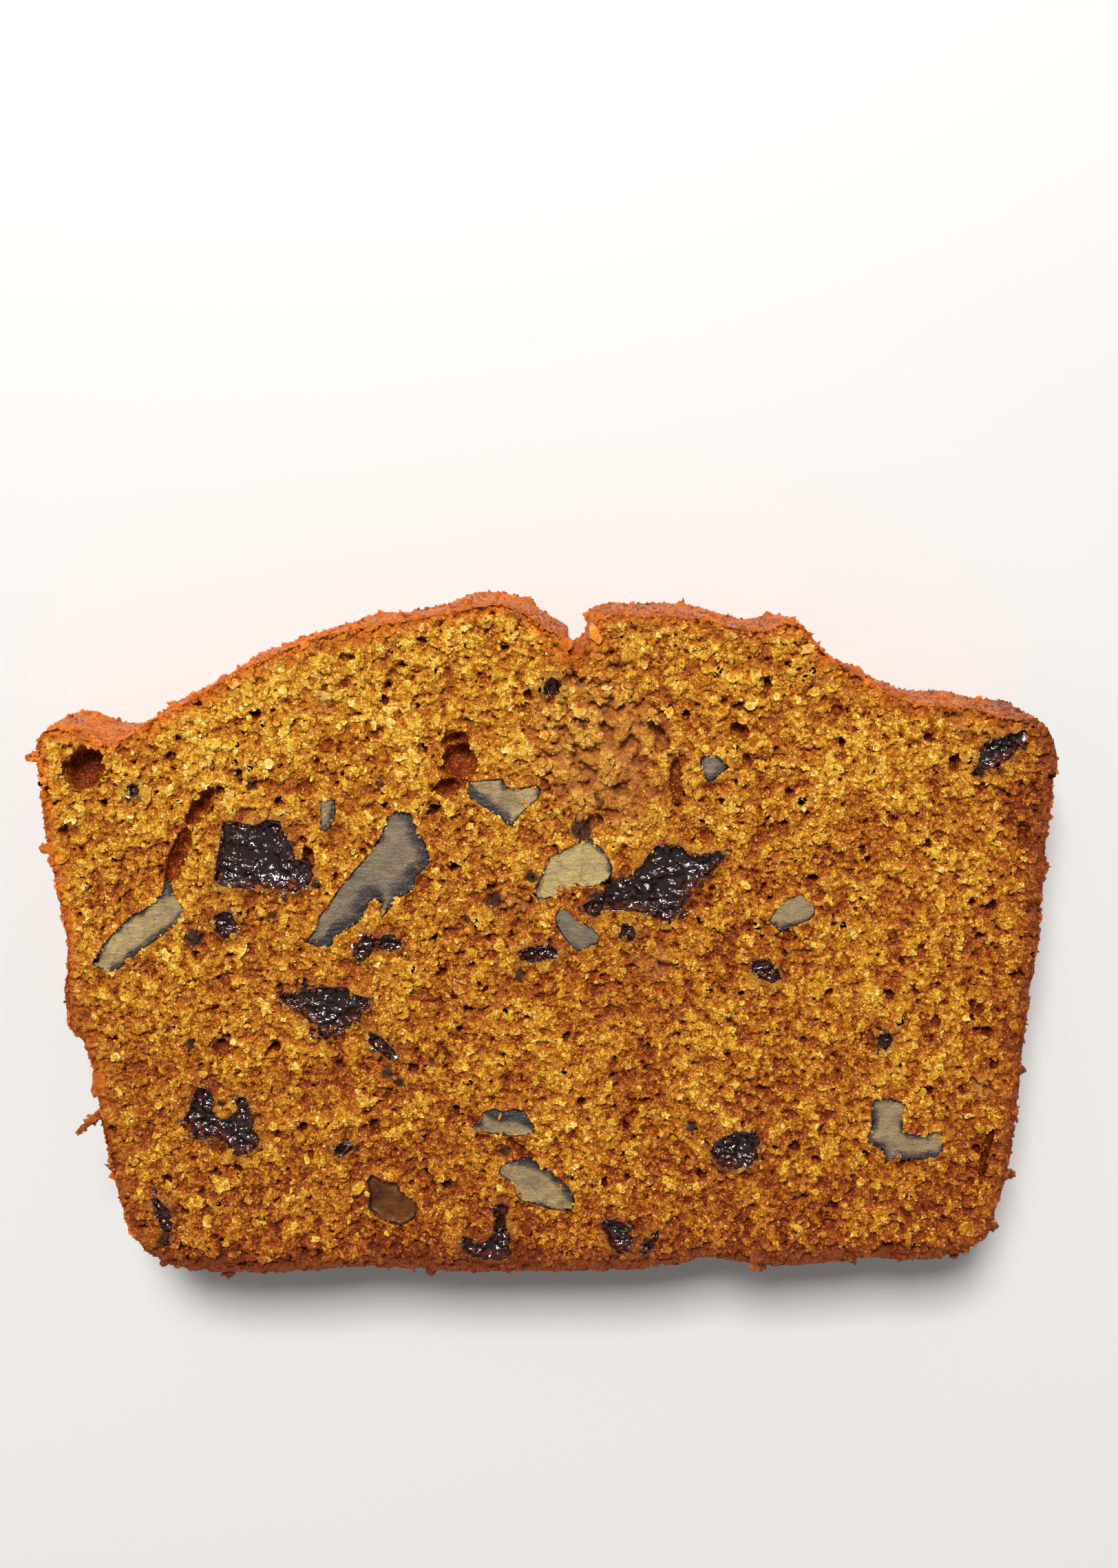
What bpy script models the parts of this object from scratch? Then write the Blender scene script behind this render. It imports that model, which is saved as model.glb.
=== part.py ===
"""A slice of pumpkin bread with walnuts and dried prunes, lying on the cut face that was its rear.

X runs across the slice, Y from the bottom crust to the dome, and Z up through its thickness. Every
length below is in millimetres, and MM turns it into metres where a mesh or a curve is made.
"""
import math
import random

import bmesh
import bpy
from mathutils import Matrix, Vector, noise

MM = 0.001

# Driving dimensions
THICKNESS = 18.0            # between the two cut faces
GAP = 0.3                   # between a piece of nut or fruit and the crumb round it
REAR_CLEAR = 0.2            # how far a piece stays above the rear cut
CRUST_ROUGHNESS = 0.72      # how far the crust strays from the outline between the cuts
CRUST_FINENESS = 0.22       # and how far it strays everywhere, in finer dents
WALL_BANDS = 3              # rows of faces up the crust
CELL = 12.0                 # size of the patches that a cut face is divided into
FRUIT_CELL = 2.0            # and of those on a fruit piece's cut face
OUTLINE_STEPS = 2           # faces between two points of the slice's outline
PIECE_STEPS = 1             # and of a piece's
CUT_OVERSHOOT = 1.5         # how far a cutter passes the face it cuts
MERGE = 0.001               # points nearer than this are one
NUT_RIM = (0.2, 0.3)        # how far the rim of a cut nut is worn down, and how wide that is
FRUIT_RIM = (0.5, 0.5)      # the same for fruit
FRUIT_BUMPS = 0.8           # height of the bumps on fruit's cut face
BIT_BUMPS, AMBER_BUMPS = 0.3, 0.4
TAPER_THROUGH = 0.25        # how much a piece that runs through the slice narrows over its thickness
TAPER_SHALLOW = 0.5         # and one that doesn't
DENTS = (0.84, 1.16)        # how far the corners of a rough lump stray from round
LOBES = (0.92, 1.22)        # and those of a small piece's outline
LOBE_SHIFT = 0.22           # how unevenly the corners of such an outline are spread

# The slice's outline, clockwise, from its upper left corner
CORNER_LEFT = ((-57.6, 23.0), (-57.0, 24.6), (-55.2, 25.3), (-52.4, 24.2), (-49.1, 23.5))
DOME_LEFT = ((-44.8, 25.9), (-40.0, 28.4), (-33.9, 32.0), (-27.0, 34.9), (-20.0, 36.6), (-12.0, 38.0),
             (-5.5, 39.2), (-3.0, 38.4), (0.0, 36.5))
DOME_SPLIT = ((2.3, 35.0), (2.6, 32.9), (3.9, 33.6), (4.8, 35.4))
DOME_RIGHT = ((5.6, 37.4), (10.1, 37.9), (17.5, 37.5), (23.8, 36.1), (26.6, 37.1), (28.8, 36.5),
              (31.4, 33.6), (36.5, 30.3), (41.0, 28.0), (48.0, 27.5), (52.2, 26.1), (55.3, 26.1))
SIDE_RIGHT = ((57.1, 23.8), (57.5, 19.5), (56.6, 12.0), (56.3, 1.0), (55.2, -7.0), (54.8, -14.0),
              (54.0, -23.2), (52.4, -31.5), (51.2, -35.0))
BOTTOM = ((46.5, -37.3), (38.0, -37.4), (27.0, -38.4), (18.5, -37.6), (10.6, -38.8), (2.4, -39.0),
          (-9.7, -39.1), (-22.3, -38.5), (-30.1, -39.1), (-38.2, -39.2), (-44.8, -38.3))
SIDE_LEFT = ((-48.4, -35.0), (-49.9, -30.3), (-51.4, -22.9), (-52.2, -17.5), (-53.4, -11.2),
             (-55.2, -9.6), (-54.9, -0.3), (-56.0, 6.0), (-56.9, 13.0), (-57.5, 19.0))
SLICE = CORNER_LEFT + DOME_LEFT + DOME_SPLIT + DOME_RIGHT + SIDE_RIGHT + BOTTOM + SIDE_LEFT

# Flakes and crumbs that stand out of the crust: x, y, length, width, the way they point in degrees
# and how far below the shown face their middle lies
CRAGS = (
    (-58.2, 21.7, 2.4, 1.3, 180, 1.0), (-57.3, 11.2, 1.8, 1.6, 175, 1.2), (-57.0, 17.2, 2.0, 1.8, 200, 1.6),
    (-52.5, -20.6, 4.2, 1.4, 215, 1.1), (-54.3, -22.3, 2.4, 1.1, 235, 1.2), (-51.0, -26.7, 2.4, 1.0, 150, 1.1),
    (-37.5, -39.5, 2.2, 2.0, 265, 1.6), (-13.7, -39.2, 1.6, 1.5, 270, 1.2), (-1.5, -38.8, 2.6, 1.2, 200, 1.4),
    (14.7, -38.2, 3.2, 1.2, 190, 1.4), (25.2, -38.7, 1.9, 1.5, 270, 1.3), (47.6, -37.0, 2.6, 1.6, 300, 1.6),
    (52.1, -33.9, 2.0, 1.3, 0, 1.2), (53.8, -27.7, 1.9, 1.8, 350, 1.4), (54.8, -15.0, 1.9, 1.4, 10, 1.1),
    (55.9, 0.6, 1.8, 1.7, 5, 1.8), (-21.4, 36.6, 1.9, 1.1, 60, 1.2), (3.7, 33.9, 3.4, 2.2, 35, 1.8),
    (-45.1, -38.2, 2.4, 1.6, 240, 1.8), (-55.3, 3.0, 2.0, 1.5, 190, 2.0),
)
SIDE_CRAGS = 28             # more of them, all round the crust below the shown face
CRAG_SIZES = (1.4, 2.6)
CRAG_HEIGHT = 1.7
WALL_HEIGHTS = (0.12, 0.84)  # where on the crust's height they and its holes lie

# Nut and fruit that the shown cut passes through: how deep it goes, and then its outline
THROUGH = THICKNESS
WALNUTS = {
    "walnut_left": (7.0, (-52.3, -2.1), (-50.9, 0.2), (-49.6, 1.6), (-47.5, 3.7), (-45.9, 4.4), (-44.8, 5.5),
                    (-43.9, 6.2), (-43.6, 7.6), (-42.9, 7.7), (-42.5, 6.1), (-41.8, 5.2), (-41.4, 4.1),
                    (-41.9, 3.0), (-42.9, 2.0), (-45.0, 0.4), (-46.5, -0.5), (-48.0, -1.9), (-49.0, -2.7),
                    (-50.2, -3.3), (-51.6, -2.6)),
    "walnut_long": (THROUGH, (-18.2, 15.1), (-17.1, 15.8), (-15.5, 15.5), (-14.8, 14.4), (-14.6, 13.2),
                    (-13.7, 11.9), (-13.2, 9.9), (-14.0, 8.8), (-15.0, 8.0), (-15.1, 6.6), (-16.8, 5.6),
                    (-17.6, 4.7), (-18.4, 3.8), (-19.2, 2.8), (-19.4, 3.8), (-18.7, 5.3), (-20.2, 5.3),
                    (-20.6, 4.1), (-21.5, 2.7), (-22.9, 1.8), (-23.9, 1.3), (-24.8, -0.2), (-26.2, -0.2),
                    (-27.8, 0.4), (-26.6, 2.0), (-26.1, 3.6), (-25.1, 4.7), (-23.9, 6.6), (-22.1, 8.8),
                    (-20.9, 10.1), (-19.6, 11.9), (-18.9, 13.0)),
    "walnut_upper": (8.0, (-9.2, 17.6), (-8.9, 19.1), (-7.1, 19.3), (-5.0, 19.5), (-4.6, 18.5), (-3.6, 18.3),
                     (-1.1, 18.8), (-0.6, 18.1), (-0.9, 17.1), (-2.2, 16.0), (-3.1, 15.1), (-3.9, 13.8),
                     (-4.7, 14.1), (-5.2, 14.8), (-6.5, 15.6), (-8.7, 17.0)),
    "walnut_chip": (5.0, (-25.8, 16.8), (-24.4, 17.3), (-23.9, 16.9), (-23.9, 15.5), (-24.3, 13.8),
                    (-25.3, 13.1), (-25.9, 13.6), (-25.7, 15.2)),
    "walnut_grey": (5.0, (17.2, 21.7), (18.2, 22.4), (19.1, 22.2), (20.7, 20.7), (19.8, 20.1), (18.9, 19.1),
                    (18.2, 18.9), (17.3, 19.9)),
    "walnut_middle": (THROUGH, (0.1, 10.4), (2.5, 11.6), (3.9, 12.4), (4.9, 12.6), (5.9, 11.8), (6.9, 10.6),
                      (7.5, 9.2), (7.4, 8.3), (6.9, 7.6), (5.3, 6.9), (3.9, 6.8), (3.1, 7.1), (1.7, 6.3),
                      (0.5, 5.6), (-0.9, 5.2), (-1.8, 6.2), (-0.8, 8.1)),
    "walnut_under": (6.0, (0.8, 3.6), (1.5, 4.7), (2.3, 4.3), (3.1, 3.4), (4.3, 2.7), (5.3, 2.1), (6.1, 1.1),
                     (5.8, 0.2), (4.6, -0.3), (3.6, -0.7), (2.8, -0.2), (2.0, 0.7), (1.4, 1.6), (0.9, 2.5)),
    "walnut_right": (7.0, (25.2, 3.0), (25.8, 3.8), (26.1, 4.7), (27.3, 5.6), (28.8, 6.2), (29.6, 5.8),
                     (30.6, 4.7), (30.7, 3.8), (30.1, 3.1), (29.3, 2.7), (28.3, 2.3), (27.3, 2.1),
                     (26.6, 1.5), (26.0, 2.2)),
    "walnut_hook": (THROUGH, (37.7, -18.2), (38.6, -17.9), (39.7, -18.0), (40.9, -18.4), (41.8, -19.0),
                    (41.4, -20.4), (41.2, -21.6), (41.7, -22.2), (43.6, -22.5), (44.9, -22.0), (45.9, -22.1),
                    (46.1, -23.2), (45.9, -24.6), (45.1, -25.3), (43.4, -25.5), (41.3, -25.4), (40.1, -25.4),
                    (39.2, -26.1), (39.2, -24.9), (38.5, -24.1), (37.4, -23.7), (36.8, -23.1), (37.4, -21.9),
                    (37.5, -20.7), (37.4, -19.4)),
    "walnut_low": (6.0, (-8.9, -21.5), (-8.0, -20.6), (-7.4, -19.6), (-6.2, -19.2), (-5.0, -19.6),
                   (-3.9, -19.2), (-2.6, -19.5), (-2.0, -20.6), (-1.3, -21.6), (-1.6, -22.3), (-2.8, -22.6),
                   (-4.3, -22.7), (-6.8, -22.3), (-8.1, -22.1)),
    "walnut_bottom": (9.0, (-5.8, -27.3), (-5.6, -26.4), (-4.7, -25.7), (-3.7, -25.3), (-2.2, -25.3),
                      (-1.2, -25.9), (0.3, -26.7), (1.5, -27.7), (2.5, -28.8), (3.1, -29.7), (3.3, -30.8),
                      (2.9, -31.7), (1.5, -31.7), (-0.1, -31.4), (-1.6, -30.9), (-3.0, -30.6), (-3.7, -29.8),
                      (-4.1, -28.3), (-4.9, -27.8)),
}
PRUNES = {
    "prune_square": (THROUGH, (-36.9, 14.4), (-35.9, 14.7), (-34.8, 14.4), (-32.9, 14.1), (-31.8, 14.8),
                     (-30.3, 14.6), (-29.6, 13.0), (-28.9, 11.6), (-28.6, 10.3), (-27.3, 9.8), (-26.5, 8.3),
                     (-27.3, 6.7), (-29.0, 6.1), (-30.4, 6.5), (-32.5, 6.7), (-34.6, 6.6), (-36.8, 6.9),
                     (-38.0, 7.4), (-37.9, 8.8), (-37.2, 11.9)),
    "prune_large": (THROUGH, (11.4, 10.6), (12.3, 11.7), (13.7, 12.0), (15.3, 11.6), (16.2, 10.8),
                    (17.8, 10.8), (19.6, 11.2), (20.4, 10.6), (19.4, 9.2), (18.6, 8.2), (17.3, 7.6),
                    (16.8, 6.4), (16.0, 5.1), (14.4, 2.9), (12.8, 2.9), (11.6, 3.5), (9.8, 4.0), (8.0, 4.0),
                    (6.5, 4.0), (5.4, 3.1), (4.3, 3.9), (3.9, 4.8), (5.3, 5.6), (6.6, 6.8), (8.1, 7.9),
                    (9.4, 8.3), (10.6, 9.4)),
    "prune_lens": (7.0, (-31.0, -6.1), (-30.2, -5.4), (-27.8, -5.1), (-26.0, -4.7), (-24.5, -4.8),
                   (-23.0, -4.8), (-22.3, -5.6), (-20.3, -6.1), (-20.3, -7.2), (-21.3, -8.0), (-21.4, -9.1),
                   (-22.7, -9.5), (-24.9, -10.6), (-25.4, -11.3), (-26.4, -10.5), (-26.8, -9.5),
                   (-27.7, -8.8), (-28.4, -8.1), (-29.2, -7.3), (-30.2, -6.9)),
    "prune_fold": (7.0, (-40.4, -16.6), (-41.1, -17.9), (-41.6, -19.2), (-42.2, -20.6), (-41.3, -21.8),
                   (-41.2, -23.0), (-40.1, -23.2), (-38.4, -22.8), (-37.6, -23.5), (-36.9, -24.3),
                   (-36.4, -25.2), (-35.1, -25.0), (-33.7, -24.1), (-33.2, -23.0), (-34.0, -21.8),
                   (-33.9, -20.7), (-34.4, -19.1), (-34.9, -17.9), (-35.9, -17.6), (-36.2, -18.6),
                   (-36.5, -20.4), (-38.0, -20.5), (-38.7, -19.5), (-38.4, -18.2), (-39.0, -17.0)),
    "prune_hook": (6.0, (-6.5, -31.0), (-5.3, -30.6), (-4.3, -31.2), (-4.8, -32.4), (-4.9, -33.4),
                   (-4.3, -34.5), (-4.2, -35.6), (-4.1, -37.1), (-4.7, -37.8), (-7.2, -37.9), (-8.5, -37.5),
                   (-9.7, -36.8), (-10.4, -35.8), (-10.1, -34.7), (-9.1, -34.9), (-7.8, -35.6),
                   (-6.8, -35.1), (-6.4, -34.1), (-6.3, -32.8)),
    "prune_bottom": (6.0, (6.0, -33.2), (6.3, -33.9), (6.9, -34.7), (7.1, -35.6), (7.6, -36.4), (8.4, -37.1),
                     (9.1, -37.1), (9.6, -36.4), (10.1, -35.4), (9.9, -33.9), (9.0, -33.1), (7.8, -32.7),
                     (6.8, -32.7)),
    "prune_oval": (6.0, (18.8, -24.4), (19.3, -23.4), (20.3, -22.7), (22.0, -22.1), (23.2, -21.9),
                   (24.2, -22.0), (24.7, -23.0), (24.8, -24.0), (24.6, -25.2), (24.0, -26.1), (22.6, -26.6),
                   (21.1, -26.7), (19.9, -26.3), (19.2, -25.5)),
    "prune_corner": (7.0, (54.4, 25.1), (52.7, 24.8), (51.3, 24.4), (50.1, 24.0), (49.3, 23.5), (48.7, 22.8),
                     (48.4, 21.8), (48.5, 20.7), (49.4, 20.3), (50.5, 20.4), (51.3, 21.0), (52.2, 21.5),
                     (53.0, 22.3), (53.5, 23.2)),
}
# Smaller pieces of fruit: x, y, length, width, angle, depth
PRUNE_BITS = {
    "prune_bit_long": (-20.9, -0.2, 3.6, 2.1, 55, 5.0),
    "prune_bit_dark": (-18.0, 0.4, 2.6, 2.2, 10, 4.0),
    "prune_bit_smear": (-1.0, -0.9, 5.2, 2.1, 4, 5.0),
    "prune_bit_centre": (9.0, 1.6, 2.2, 2.4, 0, 4.0),
    "prune_bit_middle": (25.0, -2.9, 3.6, 2.5, -20, 5.0),
    "prune_bit_top": (0.6, 29.7, 2.5, 2.2, 50, 4.0),
    "prune_bit_left": (-36.8, 2.4, 3.2, 3.2, 0, 5.0),
    "prune_bit_sliver": (-19.1, -11.9, 4.3, 1.8, -40, 4.0),
    "prune_bit_speck": (-23.7, -24.1, 2.4, 1.7, 20, 4.0),
    "prune_bit_upper": (-46.8, 18.1, 1.9, 1.7, 0, 4.0),
    "prune_bit_low": (-44.9, -32.3, 4.4, 1.8, -65, 4.0),
    "prune_bit_pair": (11.9, -35.6, 3.4, 1.5, 52, 4.0),
    "prune_bit_stain": (38.9, -11.2, 2.0, 2.2, 0, 4.0),
}
AMBER = (6.0, (-20.5, -27.1), (-19.2, -27.9), (-17.5, -28.2), (-17.1, -29.1), (-15.5, -30.2), (-15.0, -31.4),
         (-15.3, -32.5), (-16.2, -33.2), (-17.3, -33.7), (-18.7, -33.2), (-19.9, -32.6), (-21.0, -31.8),
         (-20.9, -29.5), (-21.2, -28.1))
REAR_PIECES = (("walnut", 5, (5.0, 9.0)), ("prune", 4, (4.5, 8.5)))
REAR_DEPTH = 6.0
REAR_CORNERS = 9            # of a rear piece's outline

# Holes in the shown cut: x, y, length, width, angle and depth
HOLES = (
    (-52.5, 20.4, 5.6, 4.8, 35, 5.5), (-10.0, 21.4, 4.4, 4.6, 60, 4.5), (-11.2, 18.4, 3.6, 1.9, 20, 3.0),
    (46.0, 21.1, 2.7, 1.5, 75, 3.4),
    (-10.6, 23.6, 3.2, 2.2, 20, 2.6), (26.3, 23.1, 4.4, 3.6, 75, 1.6), (21.7, 24.9, 2.8, 1.9, -30, 2.6),
    (14.8, 22.6, 2.2, 3.2, 0, 2.2), (22.6, 21.3, 1.3, 2.2, 0, 1.8), (18.2, 12.9, 2.4, 1.9, -40, 2.0),
    (9.0, 12.4, 2.2, 2.4, 0, 2.0), (5.2, 14.4, 2.6, 2.2, 20, 1.6), (54.1, 12.8, 2.0, 4.2, 5, 2.2),
    (42.9, -0.7, 2.2, 2.4, 0, 1.6), (28.7, -30.8, 4.6, 1.5, 3, 2.2), (10.9, -18.4, 3.6, 0.9, 4, 1.8),
    (-27.1, 10.3, 1.5, 3.4, 20, 3.2), (-28.3, -4.3, 2.2, 1.2, 15, 2.0), (27.5, 1.4, 2.6, 0.9, -20, 1.8),
    (-22.5, 33.1, 2.3, 1.3, 0, 1.8), (-17.4, 31.3, 2.1, 1.1, 20, 1.6), (-2.8, 27.5, 2.1, 1.6, 20, 1.6),
    (-19.2, 24.6, 2.4, 1.5, 20, 1.6), (2.0, 17.8, 2.2, 2.0, 0, 1.4), (32.9, 27.0, 2.0, 1.4, -20, 1.8),
    (22.6, 27.2, 2.6, 1.0, 0, 1.4), (31.9, 17.7, 1.8, 2.1, 0, 1.6), (25.8, 13.8, 1.5, 1.6, 0, 1.6),
    (44.3, 12.9, 2.2, 1.1, 0, 1.4), (49.3, 13.6, 2.0, 2.2, 0, 1.2), (-31.5, -0.9, 3.0, 1.9, 10, 1.8),
    (-37.4, -12.0, 2.6, 2.2, 0, 1.8), (-44.4, -18.8, 3.2, 1.7, 30, 1.6), (-30.9, -22.6, 2.2, 1.1, -15, 1.5),
    (-13.1, -16.6, 2.0, 1.2, 0, 1.4), (-19.2, -17.4, 2.6, 1.7, 0, 1.6), (-19.3, -22.4, 2.0, 1.2, -20, 1.4),
    (10.9, -25.7, 2.2, 1.3, 20, 1.6), (21.1, 1.5, 1.8, 1.6, 0, 1.4), (44.8, -9.0, 1.2, 2.4, 0, 1.4),
    (49.8, -7.9, 1.3, 2.3, 0, 1.4), (33.7, -14.6, 2.1, 1.7, 0, 1.5), (28.0, -20.2, 2.6, 1.5, -10, 1.4),
    (48.6, -19.4, 2.1, 1.4, -20, 1.5), (32.7, -33.4, 1.9, 1.3, 20, 1.4), (-27.4, 18.2, 2.2, 2.4, 0, 1.5),
    (-25.0, 23.2, 3.0, 1.5, 25, 1.3), (-16.6, 36.0, 2.4, 0.8, 5, 1.0), (16.8, 35.0, 2.6, 0.7, 5, 1.0),
    (-47.8, 22.5, 1.7, 1.1, 10, 1.3), (-44.3, 16.6, 1.6, 1.2, 0, 1.2), (-32.6, 18.7, 2.6, 1.2, 15, 1.4),
    (-23.2, -22.5, 1.8, 1.2, 35, 1.5),
)
# Cracks in the shown cut: width, depth, and the points that they run through
CRACKS = (
    (2.5, 3.2, (-38.7, 17.0), (-40.2, 15.0), (-41.2, 12.6), (-42.1, 10.4), (-42.6, 8.9)),
    (1.7, 2.6, (11.9, 25.5), (13.3, 23.4), (14.6, 20.6), (14.6, 17.4)),
    (1.1, 3.0, (51.7, -21.8), (51.1, -24.8), (50.5, -28.0)),
    (1.2, 2.6, (-47.3, 19.8), (-48.6, 18.4), (-49.3, 17.1)),
    (0.9, 2.6, (54.8, -3.6), (53.2, -3.3)),
    (1.0, 1.6, (-4.0, -23.6), (-0.8, -26.0), (2.4, -28.6)),
)
CRACK_LAP = 1.6             # how many widths two lengths of a crack share
LARGE_HOLE = 3.1            # a hole longer than this has finer walls
FINE_HOLES = 26             # smaller holes, spread over the shown cut
REAR_HOLES = 26             # and over the rear one
CRUST_HOLES = 16            # and round the crust
FINE_SIZES = (0.9, 1.9)
REAR_SIZES = (0.9, 3.0)
HOLE_WIDTH = 0.7            # of such a hole's length
HOLE_SPACING = 0.8          # what is left between two of them
EDGE_MARGIN = 2.5           # and between one and the crust
REST_SPOT = (-24.0, -17.0)  # a spot of the rear cut that stays flat and whole, for the slice to rest on
REST_CLEAR = 5.0


def material(name, colour, roughness):
    finish = bpy.data.materials.new(name)
    finish.use_nodes = True
    shader = finish.node_tree.nodes["Principled BSDF"]
    shader.inputs["Base Color"].default_value = (*colour, 1.0)
    shader.inputs["Roughness"].default_value = roughness
    shader.inputs["Metallic"].default_value = 0.0
    return finish


def collection(name):
    made = bpy.data.collections.new(name)
    bpy.context.scene.collection.children.link(made)
    return made


def mesh_object(name, mesh, home):
    made = bpy.data.objects.new(name, mesh)
    home.objects.link(made)
    return made


def prism(name, outline, low, high, steps, home, widen=0.0):
    """A closed smooth outline, as a solid from low to high, its walls moved out by widen."""
    curve = bpy.data.curves.new(name, "CURVE")
    curve.dimensions = "2D"
    curve.fill_mode = "BOTH"
    curve.resolution_u = steps
    curve.extrude = (high - low) / 2 * MM
    curve.offset = widen * MM
    spline = curve.splines.new("BEZIER")
    spline.use_cyclic_u = True
    spline.bezier_points.add(len(outline) - 1)
    for knot, (x, y) in zip(spline.bezier_points, outline):
        knot.co = (x * MM, y * MM, 0.0)
        knot.handle_left_type = knot.handle_right_type = "AUTO"
    drawn = mesh_object(name, curve, home)
    drawn.location.z = (low + high) / 2 * MM
    bpy.context.view_layer.update()
    evaluated = drawn.evaluated_get(bpy.context.evaluated_depsgraph_get())
    mesh = bpy.data.meshes.new_from_object(evaluated)
    mesh.transform(drawn.matrix_world)
    bpy.data.objects.remove(drawn)
    shell = bmesh.new()
    shell.from_mesh(mesh)
    bmesh.ops.remove_doubles(shell, verts=shell.verts, dist=MERGE * MM)
    bmesh.ops.dissolve_limit(shell, angle_limit=math.radians(1), verts=shell.verts, edges=[
        edge for edge in shell.edges if all(abs(face.normal.z) > 0.9 for face in edge.link_faces)])
    bmesh.ops.recalc_face_normals(shell, faces=shell.faces)
    shell.to_mesh(mesh)
    shell.free()
    mesh.name = name
    return mesh_object(name, mesh, home)


def blob(name, middle, size, turn, rounds, seed, home):
    """A rough lump: a sphere of 20 faces, or 80 with 2 rounds, stretched, turned and dented."""
    lump = bmesh.new()
    bmesh.ops.create_icosphere(lump, subdivisions=rounds, radius=0.5)
    draw = random.Random(seed)
    tilt = Matrix.Rotation(draw.uniform(0, math.tau), 3, Vector((draw.gauss(0, 1), draw.gauss(0, 1), 1)))
    stretch = Matrix.Diagonal(Vector(size))
    for vert in lump.verts:
        rough = (tilt @ vert.co) * draw.uniform(*DENTS)
        vert.co = (Matrix.Rotation(math.radians(turn), 3, "Z") @ (stretch @ rough) + Vector(middle)) * MM
    bmesh.ops.recalc_face_normals(lump, faces=lump.faces)
    mesh = bpy.data.meshes.new(name)
    lump.to_mesh(mesh)
    lump.free()
    return mesh_object(name, mesh, home)


def lobed(x, y, length, width, turn, seed, corners=7):
    """The outline of a small torn piece of fruit or nut."""
    draw = random.Random(seed)
    points = []
    for step in range(corners):
        angle = math.tau * (step + draw.uniform(-LOBE_SHIFT, LOBE_SHIFT)) / corners
        reach = draw.uniform(*LOBES)
        across = Vector((length / 2 * math.cos(angle), width / 2 * math.sin(angle))) * reach
        across.rotate(Matrix.Rotation(math.radians(turn), 2))
        points.append((x + across.x, y + across.y))
    return points


def cut_in_cells(shell, spacing, faces=None):
    """Divides the given faces, or the whole solid, along lines square to X and to Y."""
    for axis in (Vector((1, 0, 0)), Vector((0, 1, 0))):
        reach = [vert.co.dot(axis) for vert in (shell.verts if faces is None else
                                                {vert for face in faces for vert in face.verts})]
        count = int((max(reach) - min(reach)) / (spacing * MM))
        for step in range(1, count + 1):
            place = min(reach) + (max(reach) - min(reach)) * step / (count + 1)
            parts = [*shell.verts, *shell.edges, *shell.faces] if faces is None else list(
                {part for face in faces for part in (face, *face.edges, *face.verts)})
            cut = bmesh.ops.bisect_plane(shell, geom=parts, dist=MERGE * MM, plane_co=axis * place,
                                         plane_no=axis)
            if faces is not None:
                faces = [part for part in cut["geom"] if isinstance(part, bmesh.types.BMFace)]
    return faces


def shape_piece(piece, facing, drop, shoulder, bumps):
    """Wears down the rim of a piece's cut face, and puts bumps on it where the fruit is soft."""
    shell = bmesh.new()
    shell.from_mesh(piece.data)
    shell.normal_update()
    top = [face for face in shell.faces if face.normal.z * facing > 0.9]
    rim = {vert for face in top for vert in face.verts}
    bmesh.ops.inset_region(shell, faces=top, thickness=shoulder * MM, use_even_offset=False)
    for vert in rim:
        vert.co.z -= drop * facing * MM
    if bumps:
        inner = cut_in_cells(shell, FRUIT_CELL, top)
        for vert in {vert for face in inner for vert in face.verts}:
            place = vert.co / MM
            vert.co.z -= (0.5 + noise.noise(place * 0.55)) * bumps * facing * MM
    bmesh.ops.triangulate(shell, faces=[face for face in shell.faces if len(face.verts) > 4])
    shell.to_mesh(piece.data)
    shell.free()


def shrink_with_depth(solid, surface, inward, taper):
    """Draws a piece in towards its middle, the deeper it goes below the cut at height surface."""
    xs = [corner[0] for corner in solid.bound_box]
    ys = [corner[1] for corner in solid.bound_box]
    middle = Vector(((min(xs) + max(xs)) / 2, (min(ys) + max(ys)) / 2))
    for vert in solid.data.vertices:
        share = 1.0 - taper * inward * (vert.co.z / MM - surface) / THICKNESS
        vert.co.xy = middle + (vert.co.xy - middle) * share


def add_piece(name, outline, depth, rear, finish, bumps, nodes, cutters):
    """A piece of nut or fruit that a cut passes through, and the pocket it sits in."""
    surface = 0.0 if rear else THICKNESS
    inward = 1.0 if rear else -1.0
    through = depth >= THICKNESS
    near, far = surface, surface + inward * depth
    if rear or through:
        low = REAR_CLEAR
    else:
        low = min(near, far)
    high = THICKNESS if not rear else max(near, far)
    piece = prism(name, outline, low, high, PIECE_STEPS, nodes)
    pocket_low = -CUT_OVERSHOOT if rear or through else low - GAP
    pocket_high = high + GAP if rear else THICKNESS + CUT_OVERSHOOT
    pocket = prism(name + "_pocket", outline, pocket_low, pocket_high, PIECE_STEPS, cutters, widen=GAP)
    taper = TAPER_THROUGH if through else TAPER_SHALLOW
    for solid in (piece, pocket):
        shrink_with_depth(solid, surface, inward, taper)
    shape_piece(piece, -1 if rear else 1, *(FRUIT_RIM if bumps else NUT_RIM), bumps)
    piece.data.materials.append(finish)
    return piece


def apply_boolean(target, operation, operands):
    """One Boolean over a whole collection, which is applied, and its objects then removed."""
    step = target.modifiers.new(operation.lower(), "BOOLEAN")
    step.operation = operation
    step.operand_type = "COLLECTION"
    step.collection = operands
    step.solver = "EXACT"
    bpy.context.view_layer.update()
    evaluated = target.evaluated_get(bpy.context.evaluated_depsgraph_get())
    mesh = bpy.data.meshes.new_from_object(evaluated)
    shell = bmesh.new()
    shell.from_mesh(mesh)
    bmesh.ops.dissolve_limit(shell, angle_limit=math.radians(0.5), verts=shell.verts, edges=shell.edges)
    shell.to_mesh(mesh)
    shell.free()
    target.modifiers.clear()
    target.data = mesh
    for used in list(operands.objects):
        bpy.data.objects.remove(used)
    bpy.data.collections.remove(operands)


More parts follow.
